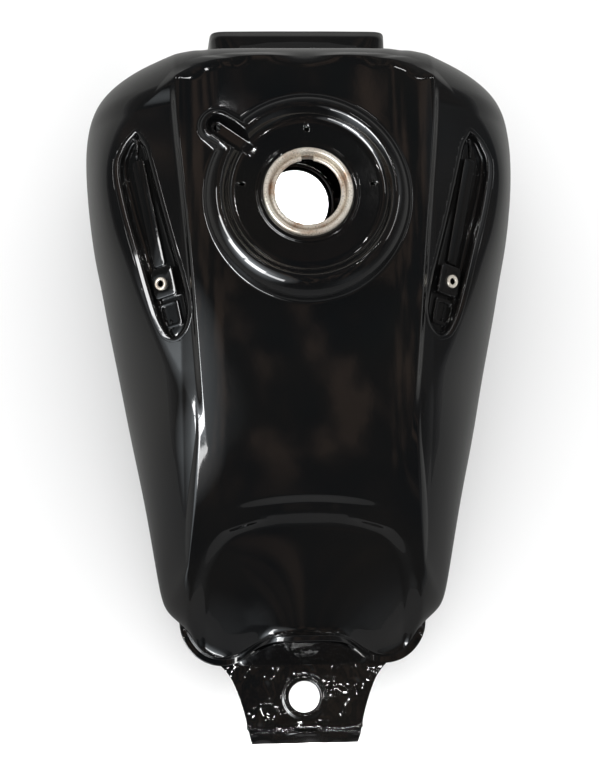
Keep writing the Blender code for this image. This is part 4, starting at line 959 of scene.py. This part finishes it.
def world():
    """Soft even light for the floor; in reflections a dim room, brighter low down at both sides."""
    scene_world = bpy.data.worlds.new("studio")
    bpy.context.scene.world = scene_world
    scene_world.use_nodes = True
    tree = scene_world.node_tree
    back = tree.nodes["Background"]
    coord = tree.nodes.new("ShaderNodeTexCoord")
    split = tree.nodes.new("ShaderNodeSeparateXYZ")
    link(tree, coord.outputs["Generated"], split.inputs["Vector"])
    height = ramp(tree, split.outputs["Z"], [(0.0, grey(0.27)), (0.06, grey(0.20)), (0.16, grey(0.11)), (0.3, grey(0.095)), (0.5, grey(0.055)), (0.75, grey(0.06)), (0.92, grey(0.08)), (1.0, grey(0.03))])
    low = ramp(tree, side_share(tree, split), [(0.36, grey(0.30)), (0.56, grey(0.6)), (0.8, grey(1.0))])
    high = ramp(tree, split.outputs["Z"], [(0.3, grey(0.0)), (0.6, grey(1.0))])
    lift = tree.nodes.new("ShaderNodeMix")
    lift.data_type = "RGBA"
    link(tree, high.outputs["Color"], lift.inputs["Factor"])
    link(tree, low.outputs["Color"], lift.inputs["A"])
    lift.inputs["B"].default_value = grey(1.0)
    blotch = noise(tree, 5.5, 3.0, 0.55, (2.6, 0.5, 0.5))
    tint = ramp(tree, blotch.outputs["Fac"], [(0.34, (0.22, 0.36, 0.40, 1.0)), (0.47, (0.35, 0.36, 0.37, 1.0)), (0.53, (1.3, 1.0, 0.85, 1.0)), (0.62, (3.4, 2.4, 1.85, 1.0))])
    streaks = tree.nodes.new("ShaderNodeMix")
    streaks.data_type = "RGBA"
    link(tree, high.outputs["Color"], streaks.inputs["Factor"])
    streaks.inputs["A"].default_value = grey(0.8)
    link(tree, tint.outputs["Color"], streaks.inputs["B"])
    seen = multiply(tree, multiply(tree, height.outputs["Color"], lift.outputs["Result"]), streaks.outputs["Result"])
    for azimuth, elevation, spread_deg, level in ((221.0, 36.0, 36.0, 4.2), (232.0, 12.0, 24.0, 0.5), (305.0, 10.0, 24.0, 0.14), (20.0, 40.0, 22.0, 0.5)):
        a, e = math.radians(azimuth), math.radians(elevation)
        dot = tree.nodes.new("ShaderNodeVectorMath")
        dot.operation = "DOT_PRODUCT"
        link(tree, coord.outputs["Generated"], dot.inputs[0])
        dot.inputs[1].default_value = (math.cos(e) * math.cos(a), math.cos(e) * math.sin(a), math.sin(e))
        c = [math.cos(math.radians(spread_deg * k)) for k in (1.0, 0.66, 0.33)]
        glow = ramp(tree, dot.outputs["Value"], [(c[0], grey(0.0)), (c[1], grey(0.22)), (c[2], grey(0.72)), (1.0, grey(1.0))])
        scaled = tree.nodes.new("ShaderNodeMix")
        scaled.data_type = "RGBA"
        scaled.blend_type = "MULTIPLY"
        scaled.inputs["Factor"].default_value = 1.0
        link(tree, glow.outputs["Color"], scaled.inputs["A"])
        scaled.inputs["B"].default_value = (0.88 * level, 0.95 * level, level, 1.0)
        total = tree.nodes.new("ShaderNodeMix")
        total.data_type = "RGBA"
        total.blend_type = "ADD"
        total.inputs["Factor"].default_value = 1.0
        link(tree, seen, total.inputs["A"])
        link(tree, scaled.outputs["Result"], total.inputs["B"])
        seen = total.outputs["Result"]
    path = tree.nodes.new("ShaderNodeLightPath")
    pick = tree.nodes.new("ShaderNodeMix")
    pick.data_type = "RGBA"
    link(tree, path.outputs["Is Glossy Ray"], pick.inputs["Factor"])
    pick.inputs["A"].default_value = (1.3, 1.3, 1.3, 1.0)
    link(tree, seen, pick.inputs["B"])
    link(tree, pick.outputs["Result"], back.inputs["Color"])
    back.inputs["Strength"].default_value = 1.0


world()


def area(name, place, target, size, power, size_y=None, colour=(1.0, 1.0, 1.0), camera=False):
    data = bpy.data.lights.new(name, "AREA")
    data.energy = power
    data.color = colour
    data.shape = "RECTANGLE"
    data.size = size
    data.size_y = size_y or size
    obj = bpy.data.objects.new(name, data)
    bpy.context.scene.collection.objects.link(obj)
    obj.location = place
    obj.rotation_euler = (Vector(target) - Vector(place)).to_track_quat("-Z", "Y").to_euler()
    obj.visible_camera = camera
    return obj


def round_light(name, azimuth, elevation, width, height, radiance, colour=(1.0, 1.0, 1.0), reach=2.2):
    """A flat light at the given bearing and height angle, facing the tank."""
    a, e = math.radians(azimuth), math.radians(elevation)
    centre = Vector((0.0, 0.1, 0.2))
    place = centre + reach * Vector((math.cos(e) * math.cos(a), math.cos(e) * math.sin(a), math.sin(e)))
    return area(name, place, centre, width, radiance * math.pi * width * height, height, colour)


for k, (azimuth, elevation, height, level) in enumerate(((167.0, 41.0, 0.12, 9.0), (187.0, 41.0, 0.40, 12.0), (207.0, 37.0, 0.66, 16.0), (227.0, 32.0, 0.62, 17.0), (244.0, 30.0, 0.40, 9.0))):
    round_light("strip_%d" % (k + 1), azimuth, elevation, 0.60, height, level)
round_light("front_left_strip", 112.0, 40.0, 0.10, 0.34, 12.0)
round_light("front_right_strip", 62.0, 40.0, 0.30, 0.10, 10.0)
round_light("right_strip", 2.0, 42.0, 0.9, 0.10, 5.0)
for k, (azimuth, elevation) in enumerate(((62.0, 70.0), (104.0, 64.0), (20.0, 78.0), (140.0, 74.0))):
    round_light("spark_%d" % (k + 1), azimuth, elevation, 0.035, 0.035, 110.0)
TAB_ONLY = bpy.data.collections.new("bracket_sparkle")
TAB_ONLY.objects.link(bracket)
for k, (azimuth, elevation) in enumerate(((300.0, 84.0), (60.0, 82.0), (150.0, 78.0), (10.0, 74.0), (235.0, 76.0), (95.0, 70.0))):
    lamp = round_light("tab_spark_%d" % (k + 1), azimuth, elevation, 0.06, 0.06, 130.0)
    lamp.light_linking.receiver_collection = TAB_ONLY
for light in [o for o in bpy.context.scene.objects if o.type == "LIGHT"]:
    light.visible_diffuse = False
area("under_neck", (0.0, 0.165, 0.060), (0.0, 0.19, 0.0), 0.06, 0.35)
area("under_tab", (0.0, -0.31, 0.030), (0.0, -0.25, 0.0), 0.03, 0.1)
for name in ("under_neck", "under_tab"):
    bpy.data.objects[name].visible_glossy = False


def camera():
    data = bpy.data.cameras.new("camera")
    data.lens = 1543.3 / 775.0 * 36.0
    data.sensor_fit = "VERTICAL"
    data.sensor_height = 36.0
    data.clip_start = 0.05
    cam = bpy.data.objects.new("camera", data)
    bpy.context.scene.collection.objects.link(cam)
    place, target = Vector((-0.0680, -0.1931, 1.3513)), Vector((-0.0016, -0.0011, 0.1))
    cam.location = place
    forward = (target - place).normalized()
    right = forward.cross(Vector((0, 1, 0))).normalized()
    up = right.cross(forward)
    roll = math.radians(ROLL)
    r2 = right * math.cos(roll) + up * math.sin(roll)
    u2 = up * math.cos(roll) - right * math.sin(roll)
    m = Matrix((r2, u2, -forward)).transposed().to_4x4()
    m.translation = place
    cam.matrix_world = m
    bpy.context.scene.camera = cam
    return cam


ROLL = -1.12
camera()
bpy.context.scene.view_settings.view_transform = "Standard"
